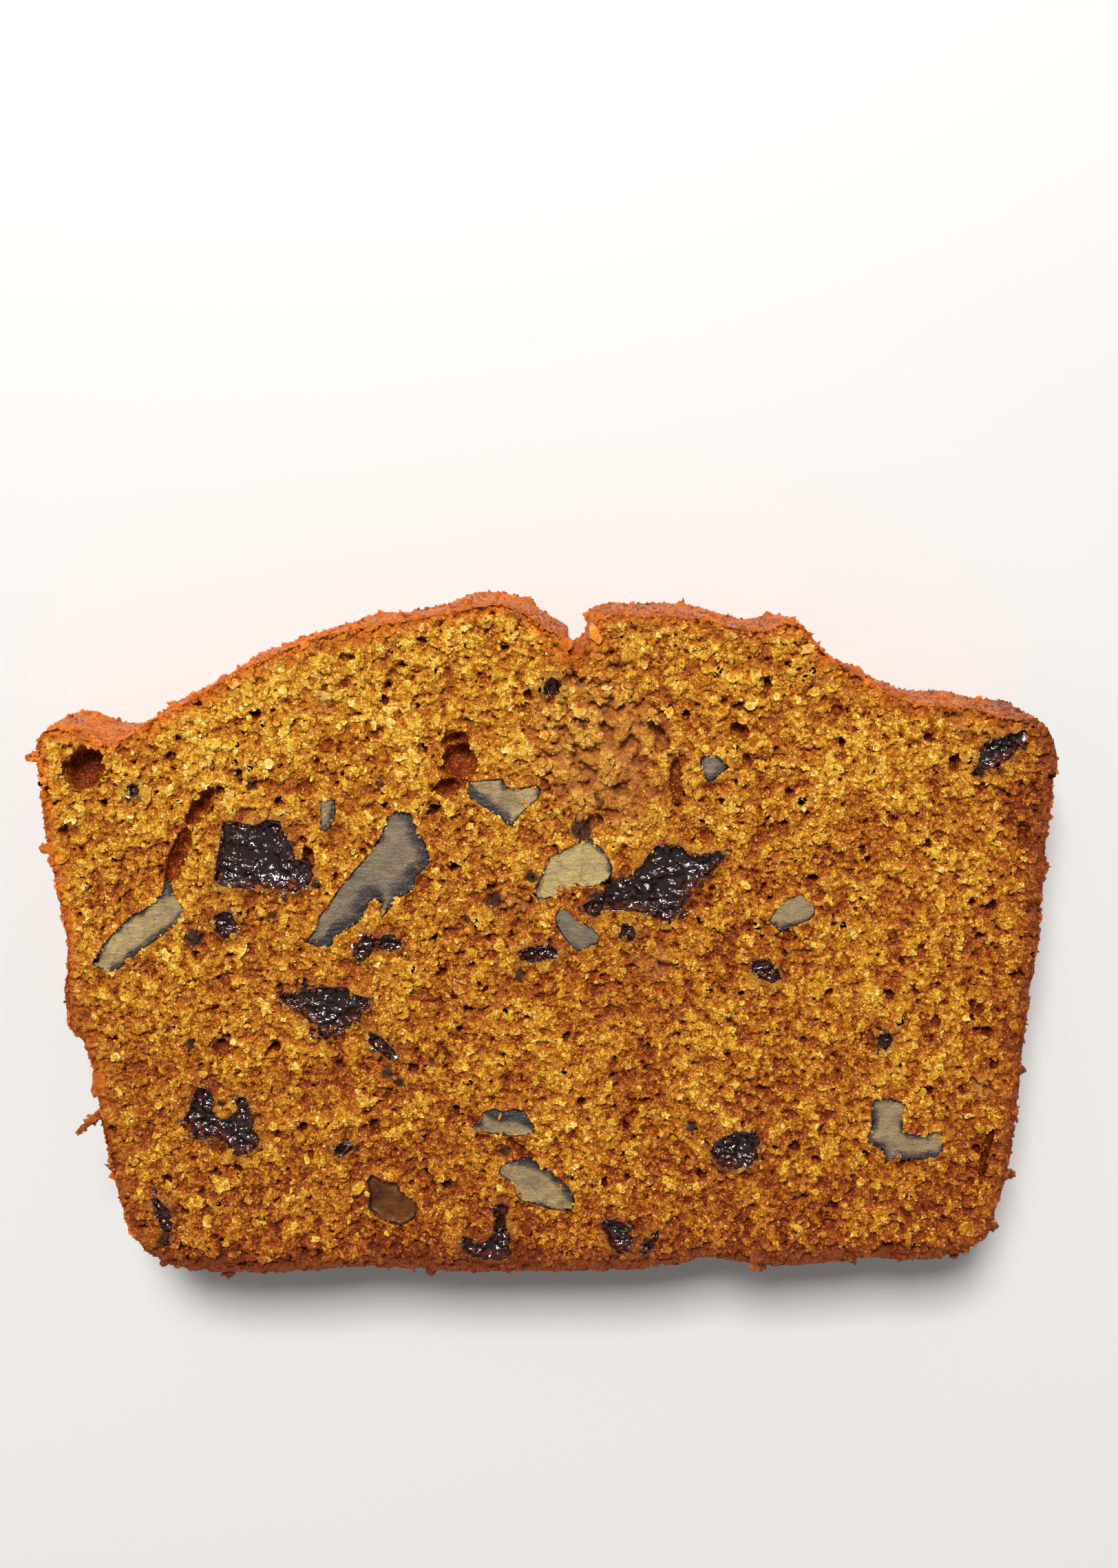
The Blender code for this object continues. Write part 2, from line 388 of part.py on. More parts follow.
def roughen_crust(crumb):
    """Divides the slab, and moves its walls in and out between the two cuts."""
    shell = bmesh.new()
    shell.from_mesh(crumb.data)
    for band in range(1, WALL_BANDS):
        parts = [*shell.verts, *shell.edges, *shell.faces]
        height = THICKNESS * MM * band / WALL_BANDS
        bmesh.ops.bisect_plane(shell, geom=parts, dist=MERGE * MM, plane_co=(0, 0, height),
                               plane_no=(0, 0, 1))
    shell.normal_update()
    moves = {}
    for vert in shell.verts:
        outward = Vector((vert.normal.x, vert.normal.y, 0.0))
        if outward.length > 0.1:
            place = vert.co / MM
            sunk = min(1.0, 1.6 * (1.0 - place.z / THICKNESS))
            swell = noise.noise(place * 0.16) + 0.7 * noise.noise(place * 0.45 + Vector((7, 3, 1)))
            strength = CRUST_ROUGHNESS * sunk * swell + CRUST_FINENESS * noise.noise(place * 0.9)
            moves[vert] = outward.normalized() * strength * MM
    for vert, move in moves.items():
        vert.co += move
    cut_in_cells(shell, CELL)
    shell.to_mesh(crumb.data)
    shell.free()


def wall_spots(crumb, count, seed):
    """Spots spread round the crust: where each is, which way it faces, and a random share."""
    draw = random.Random(seed)
    walls = [face for face in crumb.data.polygons if abs(face.normal.z) < 0.5]
    order = sorted(walls, key=lambda face: math.atan2(face.center.y, face.center.x))
    for number in range(count):
        share = (number + draw.random()) / count
        face = order[int(share * len(order))]
        height = draw.uniform(*WALL_HEIGHTS) * THICKNESS
        spot = Vector((face.center.x / MM, face.center.y / MM, height))
        yield spot, math.degrees(math.atan2(face.normal.y, face.normal.x)), draw.random()


def clear_spots(crumb, count, taken, seed, sizes):
    """Spots for small holes on a cut face, clear of each other and of all that is taken."""
    draw = random.Random(seed)
    xs = [corner[0] / MM for corner in crumb.bound_box]
    ys = [corner[1] / MM for corner in crumb.bound_box]
    found = []
    while len(found) < count:
        size = draw.uniform(*sizes)
        spot = Vector((draw.uniform(min(xs), max(xs)), draw.uniform(min(ys), max(ys))))
        clear = all((spot - Vector(other[:2])).length > (size + other[2]) / 2 + HOLE_SPACING
                    for other in taken + found)
        if clear and inside_outline(spot, EDGE_MARGIN + size):
            found.append((spot.x, spot.y, size, draw.uniform(0, 180)))
    return found


def inside_outline(spot, margin):
    """Whether a spot of a cut face is inside the slice's outline and away from its edge."""
    crossings, nearest = 0, math.inf
    for (ax, ay), (bx, by) in zip(SLICE, SLICE[1:] + SLICE[:1]):
        edge = Vector((bx - ax, by - ay))
        along = max(0.0, min(1.0, (spot - Vector((ax, ay))).dot(edge) / edge.length_squared))
        nearest = min(nearest, (Vector((ax, ay)) + edge * along - spot).length)
        if (ay > spot.y) != (by > spot.y) and spot.x < ax + (spot.y - ay) * edge.x / edge.y:
            crossings += 1
    return crossings % 2 == 1 and nearest > margin


def crust_bits(crumb, home):
    """The flakes and crumbs that stand out of the crust."""
    for number, (x, y, length, width, turn, below) in enumerate(CRAGS):
        blob("crag", (x, y, THICKNESS - below), (length, width, CRAG_HEIGHT), turn, 1, number, home)
    draw = random.Random(5)
    for number, (spot, facing, _) in enumerate(wall_spots(crumb, SIDE_CRAGS, 6)):
        length = draw.uniform(*CRAG_SIZES)
        size = (length * 0.8, length, length * draw.uniform(0.5, 0.9))
        blob("side_crag", spot, size, facing, 1, 100 + number, home)


def hole_cutters(crumb, taken, home):
    """Holes and cracks in both cuts, and small ones in the crust."""
    for number, (x, y, length, width, turn, depth) in enumerate(HOLES):
        rounds = 2 if length > LARGE_HOLE else 1
        blob("hole", (x, y, THICKNESS), (length, width, 2 * depth), turn, rounds, 200 + number, home)
    for number, (width, depth, *path) in enumerate(CRACKS):
        for step, (start, end) in enumerate(zip(path, path[1:])):
            run = Vector(end) - Vector(start)
            middle = (*((Vector(start) + Vector(end)) / 2), THICKNESS)
            size = (run.length + CRACK_LAP * width, width, 2 * depth)
            turn = math.degrees(math.atan2(run.y, run.x))
            blob("crack", middle, size, turn, 1, 300 + 10 * number + step, home)
    for number, (x, y, size, turn) in enumerate(clear_spots(crumb, FINE_HOLES, taken, 11, FINE_SIZES)):
        extent = (size, size * HOLE_WIDTH, size * 1.5)
        blob("fine_hole", (x, y, THICKNESS), extent, turn, 1, 400 + number, home)
    for number, (spot, facing, share) in enumerate(wall_spots(crumb, CRUST_HOLES, 12)):
        size = 1.0 + share
        blob("crust_hole", spot, (1.6, size, size * HOLE_WIDTH), facing, 1, 500 + number, home)


def rear_spots(crumb, taken):
    """Where nut and fruit show on the rear cut, and then where holes do."""
    rest = [(*REST_SPOT, 2 * REST_CLEAR)]
    draw = random.Random(21)
    pieces = []
    for kind, count, sizes in REAR_PIECES:
        for number in range(count):
            x, y, size, turn = clear_spots(crumb, 1, taken + rest + pieces, draw.randrange(1000), sizes)[0]
            pieces.append((x, y, size, turn, kind, number))
    holes = clear_spots(crumb, REAR_HOLES, taken + rest + pieces, 22, REAR_SIZES)
    return pieces, holes


def footprint(outline):
    """The middle of an outline, and how far across it is."""
    xs, ys = zip(*outline)
    size = math.hypot(max(xs) - min(xs), max(ys) - min(ys))
    return (max(xs) + min(xs)) / 2, (max(ys) + min(ys)) / 2, size


def build():
    for old in list(bpy.data.objects):
        bpy.data.objects.remove(old)
    nodes = collection("pumpkin_bread_slice")
    cutters = collection("pockets_and_holes")
    crags = collection("crags")
    crumb_finish = material("pumpkin_crumb", (0.52, 0.2, 0.025), 0.62)
    walnut_finish = material("walnut_flesh", (0.3, 0.21, 0.11), 0.5)
    prune_finish = material("prune_flesh", (0.02, 0.011, 0.01), 0.2)
    amber_finish = material("amber_fruit", (0.13, 0.04, 0.008), 0.3)

    crumb = prism("crumb", SLICE, 0.0, THICKNESS, OUTLINE_STEPS, nodes)
    roughen_crust(crumb)
    crumb.data.materials.append(crumb_finish)

    taken, through = [], []
    for table, finish, bumps in ((WALNUTS, walnut_finish, 0.0), (PRUNES, prune_finish, FRUIT_BUMPS)):
        for name, (depth, *outline) in table.items():
            add_piece(name, outline, depth, False, finish, bumps, nodes, cutters)
            taken.append(footprint(outline))
            if depth >= THICKNESS:
                through.append(footprint(outline))
    for number, (name, (x, y, length, width, turn, depth)) in enumerate(PRUNE_BITS.items()):
        outline = lobed(x, y, length, width, turn, 600 + number)
        add_piece(name, outline, depth, False, prune_finish, BIT_BUMPS, nodes, cutters)
        taken.append(footprint(outline))
    depth, *outline = AMBER
    add_piece("amber_fruit", outline, depth, False, amber_finish, AMBER_BUMPS, nodes, cutters)
    taken.append(footprint(outline))

    pieces, rear_holes = rear_spots(crumb, through)
    for x, y, size, turn, kind, number in pieces:
        outline = lobed(x, y, size, size * 0.6, turn, 700 + number + len(kind), REAR_CORNERS)
        finish, bumps = (walnut_finish, 0.0) if kind == "walnut" else (prune_finish, FRUIT_BUMPS)
        name = f"{kind}_rear_{number + 1}"
        add_piece(name, outline, REAR_DEPTH, True, finish, bumps, nodes, cutters)
    for number, (x, y, size, turn) in enumerate(rear_holes):
        rounds = 2 if size > LARGE_HOLE else 1
        extent = (size, size * HOLE_WIDTH, size * 1.3)
        blob("rear_hole", (x, y, 0.0), extent, turn, rounds, 800 + number, cutters)

    taken += [(x, y, max(length, width)) for x, y, length, width, _, _ in HOLES]
    taken += [(*footprint(path)[:2], footprint(path)[2] + width) for width, _, *path in CRACKS]
    hole_cutters(crumb, taken, cutters)
    crust_bits(crumb, crags)
    apply_boolean(crumb, "UNION", crags)
    apply_boolean(crumb, "DIFFERENCE", cutters)

    corners = [Vector(corner) for corner in crumb.bound_box]
    slice_base = bpy.data.objects.new("slice_base", None)
    nodes.objects.link(slice_base)
    slice_base.location = (-(corners[0].x + corners[6].x) / 2, -(corners[0].y + corners[6].y) / 2, 0.0)
    for node in nodes.objects:
        if node.type == "MESH":
            node.parent = slice_base


build()
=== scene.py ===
import itertools
import math

import bmesh
import bpy
import numpy as np
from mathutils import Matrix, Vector
from mathutils.bvhtree import BVHTree


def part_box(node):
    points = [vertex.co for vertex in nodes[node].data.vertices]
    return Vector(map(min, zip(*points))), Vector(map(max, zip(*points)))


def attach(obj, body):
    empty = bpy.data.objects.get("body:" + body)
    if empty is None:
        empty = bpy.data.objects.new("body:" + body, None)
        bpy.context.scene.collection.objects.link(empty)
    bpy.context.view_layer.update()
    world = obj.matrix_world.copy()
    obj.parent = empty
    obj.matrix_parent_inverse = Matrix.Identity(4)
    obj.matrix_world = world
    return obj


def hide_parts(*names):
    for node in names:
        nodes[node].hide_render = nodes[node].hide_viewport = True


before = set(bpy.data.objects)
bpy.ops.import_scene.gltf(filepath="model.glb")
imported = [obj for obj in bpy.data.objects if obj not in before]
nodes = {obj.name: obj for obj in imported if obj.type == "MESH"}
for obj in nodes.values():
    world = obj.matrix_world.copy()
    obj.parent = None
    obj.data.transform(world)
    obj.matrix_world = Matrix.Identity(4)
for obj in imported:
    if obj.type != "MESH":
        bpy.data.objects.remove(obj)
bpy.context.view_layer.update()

# The crumb is a moist quick bread, baked in a loaf tin and cut with a knife. It is one solid of torn
# pores inside a thin brown crust, made here in blocks that run into each other. Lengths are in
# millimetres, and MM turns them into metres where a mesh or a pattern is made.
MM = 0.001
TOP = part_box("crumb")[1][2] / MM
FAR = 99.0                  # past every side of the slice
CRUMB_BLOCKS = {            # its two corners, and how fine it is
    "crumb_front_1": ((-FAR, -FAR, 13.6), (-38.0, FAR, FAR), 0.19),
    "crumb_front_2": ((-38.0, -FAR, 13.6), (-19.0, FAR, FAR), 0.19),
    "crumb_front_3": ((-19.0, -FAR, 13.6), (0.0, FAR, FAR), 0.19),
    "crumb_front_4": ((0.0, -FAR, 13.6), (19.0, FAR, FAR), 0.19),
    "crumb_front_5": ((19.0, -FAR, 13.6), (38.0, FAR, FAR), 0.19),
    "crumb_front_6": ((38.0, -FAR, 13.6), (FAR, FAR, FAR), 0.19),
    "crumb_rear_1": ((-FAR, -FAR, -FAR), (-19.0, FAR, 14.0), 0.36),
    "crumb_rear_2": ((-19.0, -FAR, -FAR), (19.0, FAR, 14.0), 0.36),
    "crumb_rear_3": ((19.0, -FAR, -FAR), (FAR, FAR, 14.0), 0.36),
}
SPARE = 1.0                 # how much wider a block is until its surface is torn
RIM_REACH = 3.5             # how far inside the crust its baking can show
PIECE_REACH, FRUIT_REACH = 0.8, 2.0     # how near a piece, or a prune, changes the crumb beside it
CAP_CORNERS = 7             # a face with as many is one of the flat ends between two blocks
KEPT = 0.7                  # of a block's faces, the rest being those in its smoothest places
# The middles and reaches of the moist patches, and the places and reaches of the fruit's stains
MOIST = (((6.5, 23.0), (8.5, 9.5)), ((-24.6, 29.0), (1.3, 1.8)), ((50.9, -16.2), (1.4, 1.6)),
         ((13.6, -1.7), (1.9, 2.2)), ((10.9, -1.6), (1.6, 1.4)), ((47.4, 25.3), (0.9, 0.8)),
         ((-3.2, 5.3), (1.6, 1.0)))
STAINS = ((42.1, 2.9, 0.7), (40.4, 1.8, 0.6), (-32.9, 19.1, 0.7), (-40.6, -11.0, 0.8), (-12.9, -13.2, 0.6),
          (17.6, -13.5, 0.6), (11.9, -14.1, 0.6), (13.5, -6.0, 0.5), (-9.6, -21.6, 0.5), (-17.9, -14.8, 0.9),
          (-16.6, -15.9, 0.8), (-30.9, 4.1, 0.8), (6.2, 17.7, 0.5), (-8.6, 3.6, 0.6), (4.4, 13.9, 1.3),
          (-18.3, 18.8, 0.8), (17.2, -20.9, 1.0), (-5.4, 5.7, 1.3), (-1.2, 8.6, 1.0), (-2.6, -3.0, 1.1),
          (-40.0, 1.2, 1.4), (-44.2, -34.9, 1.2), (-4.3, -24.2, 1.0))
PIECES = [name for name in nodes if name != "crumb"]
draw = np.random.default_rng(7)     # its numbers shape the waves and the pores
SHUFFLE = draw.permutation(256)
LEANS = draw.normal(size=(256, 3))
LEANS /= np.linalg.norm(LEANS, axis=1)[:, None]
CENTRES, CHANCES = draw.random((256, 3)), draw.random(256)


def select_only(piece):
    bpy.ops.object.select_all(action="DESELECT")
    bpy.context.view_layer.objects.active = piece
    piece.select_set(True)


def merged_copy(name, source):
    """A node's mesh as one welded object of its own, ready to be shaped."""
    made = bpy.data.objects.new(name, source.data.copy())
    made.data.materials.clear()
    bpy.context.scene.collection.objects.link(made)
    select_only(made)
    bpy.ops.object.mode_set(mode="EDIT")
    bpy.ops.mesh.select_all(action="SELECT")
    bpy.ops.mesh.remove_doubles(threshold=0.01 * MM)
    bpy.ops.object.mode_set(mode="OBJECT")
    return made


def cut_block(piece, low, high):
    """Cuts a closed piece down to what lies between two corners, and closes each cut."""
    select_only(piece)
    bpy.ops.object.mode_set(mode="EDIT")
    for corner, outer in ((low, False), (high, True)):
        for axis in range(3):
            if abs(corner[axis]) < FAR:
                bpy.ops.mesh.select_all(action="SELECT")
                bpy.ops.mesh.bisect(plane_co=Vector(corner) * MM, plane_no=np.eye(3)[axis], use_fill=True,
                                    clear_outer=outer, clear_inner=not outer, threshold=0.002 * MM)
    bpy.ops.object.mode_set(mode="OBJECT")


def modify(piece, kind, **settings):
    """Adds one modifier with the given settings and applies it."""
    select_only(piece)
    modifier = piece.modifiers.new(kind.lower(), kind)
    for name, value in settings.items():
        setattr(modifier, name, value)
    bpy.ops.object.modifier_apply(modifier=modifier.name)


def points_of(piece):
    """A piece's vertices in millimetres, and which way each faces."""
    count = len(piece.data.vertices)
    places, normals = np.empty(count * 3), np.empty(count * 3)
    piece.data.vertices.foreach_get("co", places)
    piece.data.vertices.foreach_get("normal", normals)
    return places.reshape(-1, 3) / MM, normals.reshape(-1, 3)


def move_points(piece, places):
    """Puts a piece's vertices at the given places, in millimetres."""
    piece.data.vertices.foreach_set("co", (places * MM).ravel())
    piece.data.update()


def remember(piece, **values):
    """Keeps numbers for each vertex with the mesh, for the piece's material to read."""
    for name, numbers in values.items():
        layer = piece.data.attributes.new(name, "FLOAT", "POINT")
        layer.data.foreach_set("value", np.asarray(numbers, dtype=np.float32))


def ramp(values, low, high):
    """Turns values into a smooth rise from 0 at low to 1 at high."""
    share = np.clip((np.asarray(values) - low) / (high - low), 0.0, 1.0)
    return share * share * (3.0 - 2.0 * share)


def shuffled(cells):
    """One of 256 random picks for each cell of a grid."""
    picks = SHUFFLE[cells[:, 0] & 255]
    picks = SHUFFLE[(picks + cells[:, 1]) & 255]
    return SHUFFLE[(picks + cells[:, 2]) & 255]


def waves(places, scale, shift=0.0):
    """Smooth random waves from about -1 to 1, scale of them a millimetre."""
    spots = places * scale + shift
    cells = np.floor(spots).astype(np.int64)
    parts = spots - cells
    ease = parts ** 3 * (parts * (parts * 6 - 15) + 10)
    total = np.zeros(len(places))
    for corner in itertools.product((0, 1), repeat=3):
        share = np.prod(np.where(corner, ease, 1.0 - ease), axis=1)
        total += share * ((parts - corner) * LEANS[shuffled(cells + corner)]).sum(axis=1)
    return total * 1.6


def pores(places, spacing, share, small, large):
    """How deep each place lies in the nearest of many round pores, from 0 at a rim to 1 in a middle."""
    spots = places / spacing
    cells = np.floor(spots).astype(np.int64)
    depth = np.zeros(len(places))
    for step in itertools.product((-1, 0, 1), repeat=3):
        picks = shuffled(cells + step)
        size = (small + (large - small) * CHANCES[picks] / share) / spacing
        reach = np.linalg.norm(spots - (cells + step + CENTRES[picks]), axis=1)
        depth = np.where(CHANCES[picks] < share, np.maximum(depth, 1.0 - reach / size), depth)
    return depth


def tree_of(meshes, keep=None):
    """A search tree over meshes, in millimetres, of all their faces or of those that keep names."""
    corners, faces = [], []
    for mesh in meshes:
        start = len(corners)
        corners += [vert.co / MM for vert in mesh.vertices]
        faces += [[start + corner for corner in face.vertices] for face in mesh.polygons
                  if keep is None or face.index in keep]
    return BVHTree.FromPolygons(corners, faces)


def outer_wall(mesh):
    """The faces of the slice's crust: those that run on from its widest point without a cut face."""
    shell = bmesh.new()
    shell.from_mesh(mesh)
    shell.faces.ensure_lookup_table()
    start = max(shell.faces, key=lambda face: face.calc_center_median().x)
    found, edge = {start}, [start]
    while edge:
        face = edge.pop()
        for side in face.edges:
            for other in side.link_faces:
                if other not in found and abs(other.normal.z) < 0.75:
                    found.add(other)
                    edge.append(other)
    keep = {face.index for face in found}
    shell.free()
    return keep


def distances(tree, places, limit):
    """How far each place is from the nearest face of a tree, up to a limit, and where that is."""
    found = [tree.find_nearest(Vector(place), limit) for place in places]
    reach = np.array([limit if hit[0] is None else hit[3] for hit in found])
    spots = np.array([place if hit[0] is None else hit[0] for place, hit in zip(places, found)])
    return reach, spots


def torn_depth(places, moist, wall):
    """How far the crumb is torn out below the knife's cut, ragged shelves with round pores in them, and how
    much painted shade that puts into its colour."""
    bent = places + 0.35 * np.stack([waves(places, 1.0, shift) for shift in (11.0, 23.0, 37.0)], axis=1)
    bent += 0.12 * np.stack([waves(places, 2.6, shift) for shift in (41.0, 53.0, 67.0)], axis=1)
    broad = waves(places, 0.11, 5.0)
    shelves = (0.26 * ramp(waves(bent, 0.3, 61.0) + 0.3 * broad, 0.0, 0.06)
               + 0.32 * ramp(waves(bent, 0.62, 3.0) + 0.2 * broad, 0.06, 0.12)
               + 0.34 * ramp(waves(bent, 1.2, 9.0), 0.04, 0.12)
               + 0.26 * ramp(waves(bent, 2.1, 13.0), 0.04, 0.16))
    holes = 1.5 * ramp(pores(bent, 2.2, 0.36, 0.25, 0.7), 0.0, 0.35) + 0.8 * ramp(
        pores(bent, 1.0, 0.5, 0.16, 0.38), 0.0, 0.4)
    rough = 0.14 * np.abs(waves(places, 2.6, 29.0)) + 0.07 * waves(places, 3.9, 31.0)
    gaps = ramp(waves(bent, 0.6, 83.0), 0.12, 0.4) * moist
    cut = (shelves + holes + rough) * (1.0 - 0.3 * moist) + 1.3 * gaps
    crust = 0.3 * ramp(waves(bent, 0.6, 17.0), -0.1, 0.6) + 0.25 * holes + 0.7 * rough
    # Painted shade: the colour darkens where the shelves, pores, rough spots and moist gaps tear deepest.
    dark = 0.8 * shelves + 1.25 * holes + 1.2 * rough + 0.5 * gaps
    return cut * (1.0 - wall) + crust * wall, dark * (1.0 - 0.5 * wall)


def painted_light_and_shade(places):
    """How much lighter the crumb is towards the dome and the left, and darker at the bottom and right: this
    is painted light and shade, as the light comes from behind the dome and a little from the left.
    """
    x, y = places[:, 0], places[:, 1]
    lighter = (0.35 * ramp(y, 5.0, 32.0) + 0.2 * ramp(y, 14.0, 28.0) * ramp(-x, -6.0, 6.0)
               + 0.25 * ramp(-x, 12.0, 45.0) * ramp(y, -16.0, 2.0))
    darker = 0.4 * ramp(-y, 8.0, 34.0) + 1.2 * ramp(-y, 33.0, 38.5) + 0.9 * ramp(x, 50.0, 57.0)
    return lighter - darker


def patches(places, spots):
    """Where each place lies in the nearest of some oval patches, from 0 outside to 1 in a middle."""
    inside, uneven = np.zeros(len(places)), 0.35 * waves(places, 0.3, 71.0) + 0.4 * waves(places, 1.0, 73.0)
    uneven += 0.3 * waves(places, 2.0, 75.0)
    for middle, reach in spots:
        away = np.linalg.norm((places[:, :2] - middle) / np.array(reach), axis=1) + uneven
        inside = np.maximum(inside, 1.0 - ramp(away, 0.45, 1.15))
    return inside * ramp(places[:, 2], TOP - 6.0, TOP - 2.0)


slice_core = merged_copy("slice_core", nodes["crumb"])
wall_tree = tree_of([slice_core.data], outer_wall(slice_core.data))
piece_tree = tree_of([nodes[name].data for name in PIECES])
fruit_tree = tree_of([nodes[name].data for name in PIECES if name.startswith("prune")])
bpy.data.objects.remove(slice_core)


def attribute(tree, name):
    node = tree.nodes.new("ShaderNodeAttribute")
    node.attribute_name = name
    return node.outputs["Fac"]


def feed(tree, socket, value):
    """Sets a socket to a number or a colour, or links another node's output to it."""
    if isinstance(value, bpy.types.NodeSocket):
        tree.links.new(value, socket)
    else:
        socket.default_value = (*value, 1.0) if isinstance(value, tuple) else value


def sums(tree, kind, first, second):
    """One Math node."""
    node = tree.nodes.new("ShaderNodeMath")
    node.operation = kind
    feed(tree, node.inputs[0], first)
    feed(tree, node.inputs[1], second)
    return node.outputs[0]


def mottle(tree, scale, detail=2.0, rough=0.5):
    """A noise pattern on Object coordinates, with scale features a millimetre."""
    where = tree.nodes.new("ShaderNodeTexCoord")
    node = tree.nodes.new("ShaderNodeTexNoise")
    node.inputs["Scale"].default_value = scale / MM
    node.inputs["Detail"].default_value = detail
    node.inputs["Roughness"].default_value = rough
    tree.links.new(where.outputs["Object"], node.inputs["Vector"])
    return node.outputs[0]


def swing(tree, value, amount):
    """A pattern from 0 to 1 turned into one from minus to plus half the amount."""
    return sums(tree, "MULTIPLY", sums(tree, "SUBTRACT", value, 0.5), amount)


def blend(tree, share, first, second):
    """Mixes two colours."""
    node = tree.nodes.new("ShaderNodeMix")
    node.data_type = "RGBA"
    feed(tree, node.inputs["Factor"], share)
    feed(tree, node.inputs["A"], first)
    feed(tree, node.inputs["B"], second)
    return node.outputs["Result"]


def colour_steps(tree, share, *steps):
    """A colour ramp through (position, colour) steps."""
    node = tree.nodes.new("ShaderNodeValToRGB")
    for _ in steps[2:]:
        node.color_ramp.elements.new(0.5)
    for element, (position, colour) in zip(node.color_ramp.elements, steps):
        element.position = position
        element.color = (*colour, 1.0)
    tree.links.new(share, node.inputs["Fac"])
    return node.outputs["Color"]


def spread_out(tree, value, low, high, to_low=0.0, to_high=1.0):
    """Stretches a value's range from low and high to two others, and stops there."""
    node = tree.nodes.new("ShaderNodeMapRange")
    tree.links.new(value, node.inputs["Value"])
    for name, number in (("From Min", low), ("From Max", high), ("To Min", to_low), ("To Max", to_high)):
        node.inputs[name].default_value = number
    return node.outputs["Result"]


def bumps(tree, shader, height, strength, distance):
    node = tree.nodes.new("ShaderNodeBump")
    node.inputs["Strength"].default_value = strength
    node.inputs["Distance"].default_value = distance * MM
    tree.links.new(height, node.inputs["Height"])
    tree.links.new(node.outputs["Normal"], shader.inputs["Normal"])


def new_finish(name):
    made = bpy.data.materials.new(name)
    made.use_nodes = True
    return made, made.node_tree, made.node_tree.nodes["Principled BSDF"]


# Colour steps: painted shade in the deepest pores, the crumb's own orange and yellow, then a painted glint.
DEEP, LOW, MIDDLE = (0.085, 0.007, 0.001), (0.27, 0.038, 0.002), (0.54, 0.19, 0.006)
HIGH, PAINTED_GLINT = (0.85, 0.5, 0.031), (1.0, 0.92, 0.46)
CRUST_DARK, CRUST_LIGHT = (0.18, 0.033, 0.006), (0.84, 0.205, 0.011)
MOIST_TINT, STAIN_RED, STAIN_BLACK = (0.52, 0.2, 0.05), (0.16, 0.032, 0.006), (0.028, 0.01, 0.006)
TORN_REACH = 1.35           # where this much is torn out, the painted shade is as dark as it gets

crumb_finish, tree, shader = new_finish("pumpkin_crumb")
speckle, cloud = mottle(tree, 1.6, 3.0, 0.65), mottle(tree, 0.09)
grit = mottle(tree, 4.5, 2.0)
# Painted shade: the deeper a place is torn or pitted, the darker its colour.
level = spread_out(tree, attribute(tree, "sunk"), 0.0, TORN_REACH, 0.55, 0.02)
level = sums(tree, "ADD", level, swing(tree, speckle, 0.75))
level = sums(tree, "ADD", level, swing(tree, grit, 0.7))
# Painted glints: the highest specks of the grit are lifted to the top colour step.
level = sums(tree, "ADD", level, spread_out(tree, grit, 0.64, 0.7, 0.0, 0.35))
level = sums(tree, "ADD", level, swing(tree, cloud, 0.2))
# Painted light and shade: lighter towards the dome and the left, darker towards the bottom and right.
level = sums(tree, "ADD", level, sums(tree, "MULTIPLY", attribute(tree, "tint"), 0.18))
colour = colour_steps(tree, level, (0.0, DEEP), (0.24, LOW), (0.48, MIDDLE), (0.72, HIGH), (1.0, PAINTED_GLINT))
moist = attribute(tree, "moist")
colour = blend(tree, sums(tree, "MULTIPLY", moist, 0.42), colour, MOIST_TINT)
stain = sums(tree, "ADD", attribute(tree, "stain"), swing(tree, speckle, 0.8))
colour = blend(tree, spread_out(tree, stain, 0.25, 0.8, 0.0, 0.8), colour, STAIN_RED)
colour = blend(tree, spread_out(tree, stain, 0.75, 1.0, 0.0, 0.9), colour, STAIN_BLACK)
edge = sums(tree, "ADD", attribute(tree, "rim"), swing(tree, speckle, 1.6))
# The crust's colour: random baking marks, with the same painted light and shade.
baked = sums(tree, "ADD", attribute(tree, "tint"), swing(tree, speckle, 2.6))
baked = sums(tree, "ADD", baked, swing(tree, mottle(tree, 0.3), 2.4))
baked = blend(tree, spread_out(tree, baked, -0.7, 1.5), CRUST_DARK, CRUST_LIGHT)
colour = blend(tree, spread_out(tree, edge, 0.3, 2.3, 1.0, 0.0), colour, baked)
tree.links.new(colour, shader.inputs["Base Color"])
shine = spread_out(tree, mottle(tree, 2.6, 1.0), 0.44, 0.62, 0.14, 0.75)
tree.links.new(sums(tree, "SUBTRACT", shine, sums(tree, "MULTIPLY", moist, 0.25)), shader.inputs["Roughness"])
shader.inputs["Specular IOR Level"].default_value = 0.24
bumps(tree, shader, mottle(tree, 3.4, 3.0, 0.75), 1.0, 0.2)


def serve(piece, finish, slot, *replaced):
    """Gives a finished piece its material, sets it under the root body, and hides the nodes that it replaces.
    """
    piece.data.materials.append(finish)
    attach(piece, "root")
    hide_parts(*replaced)


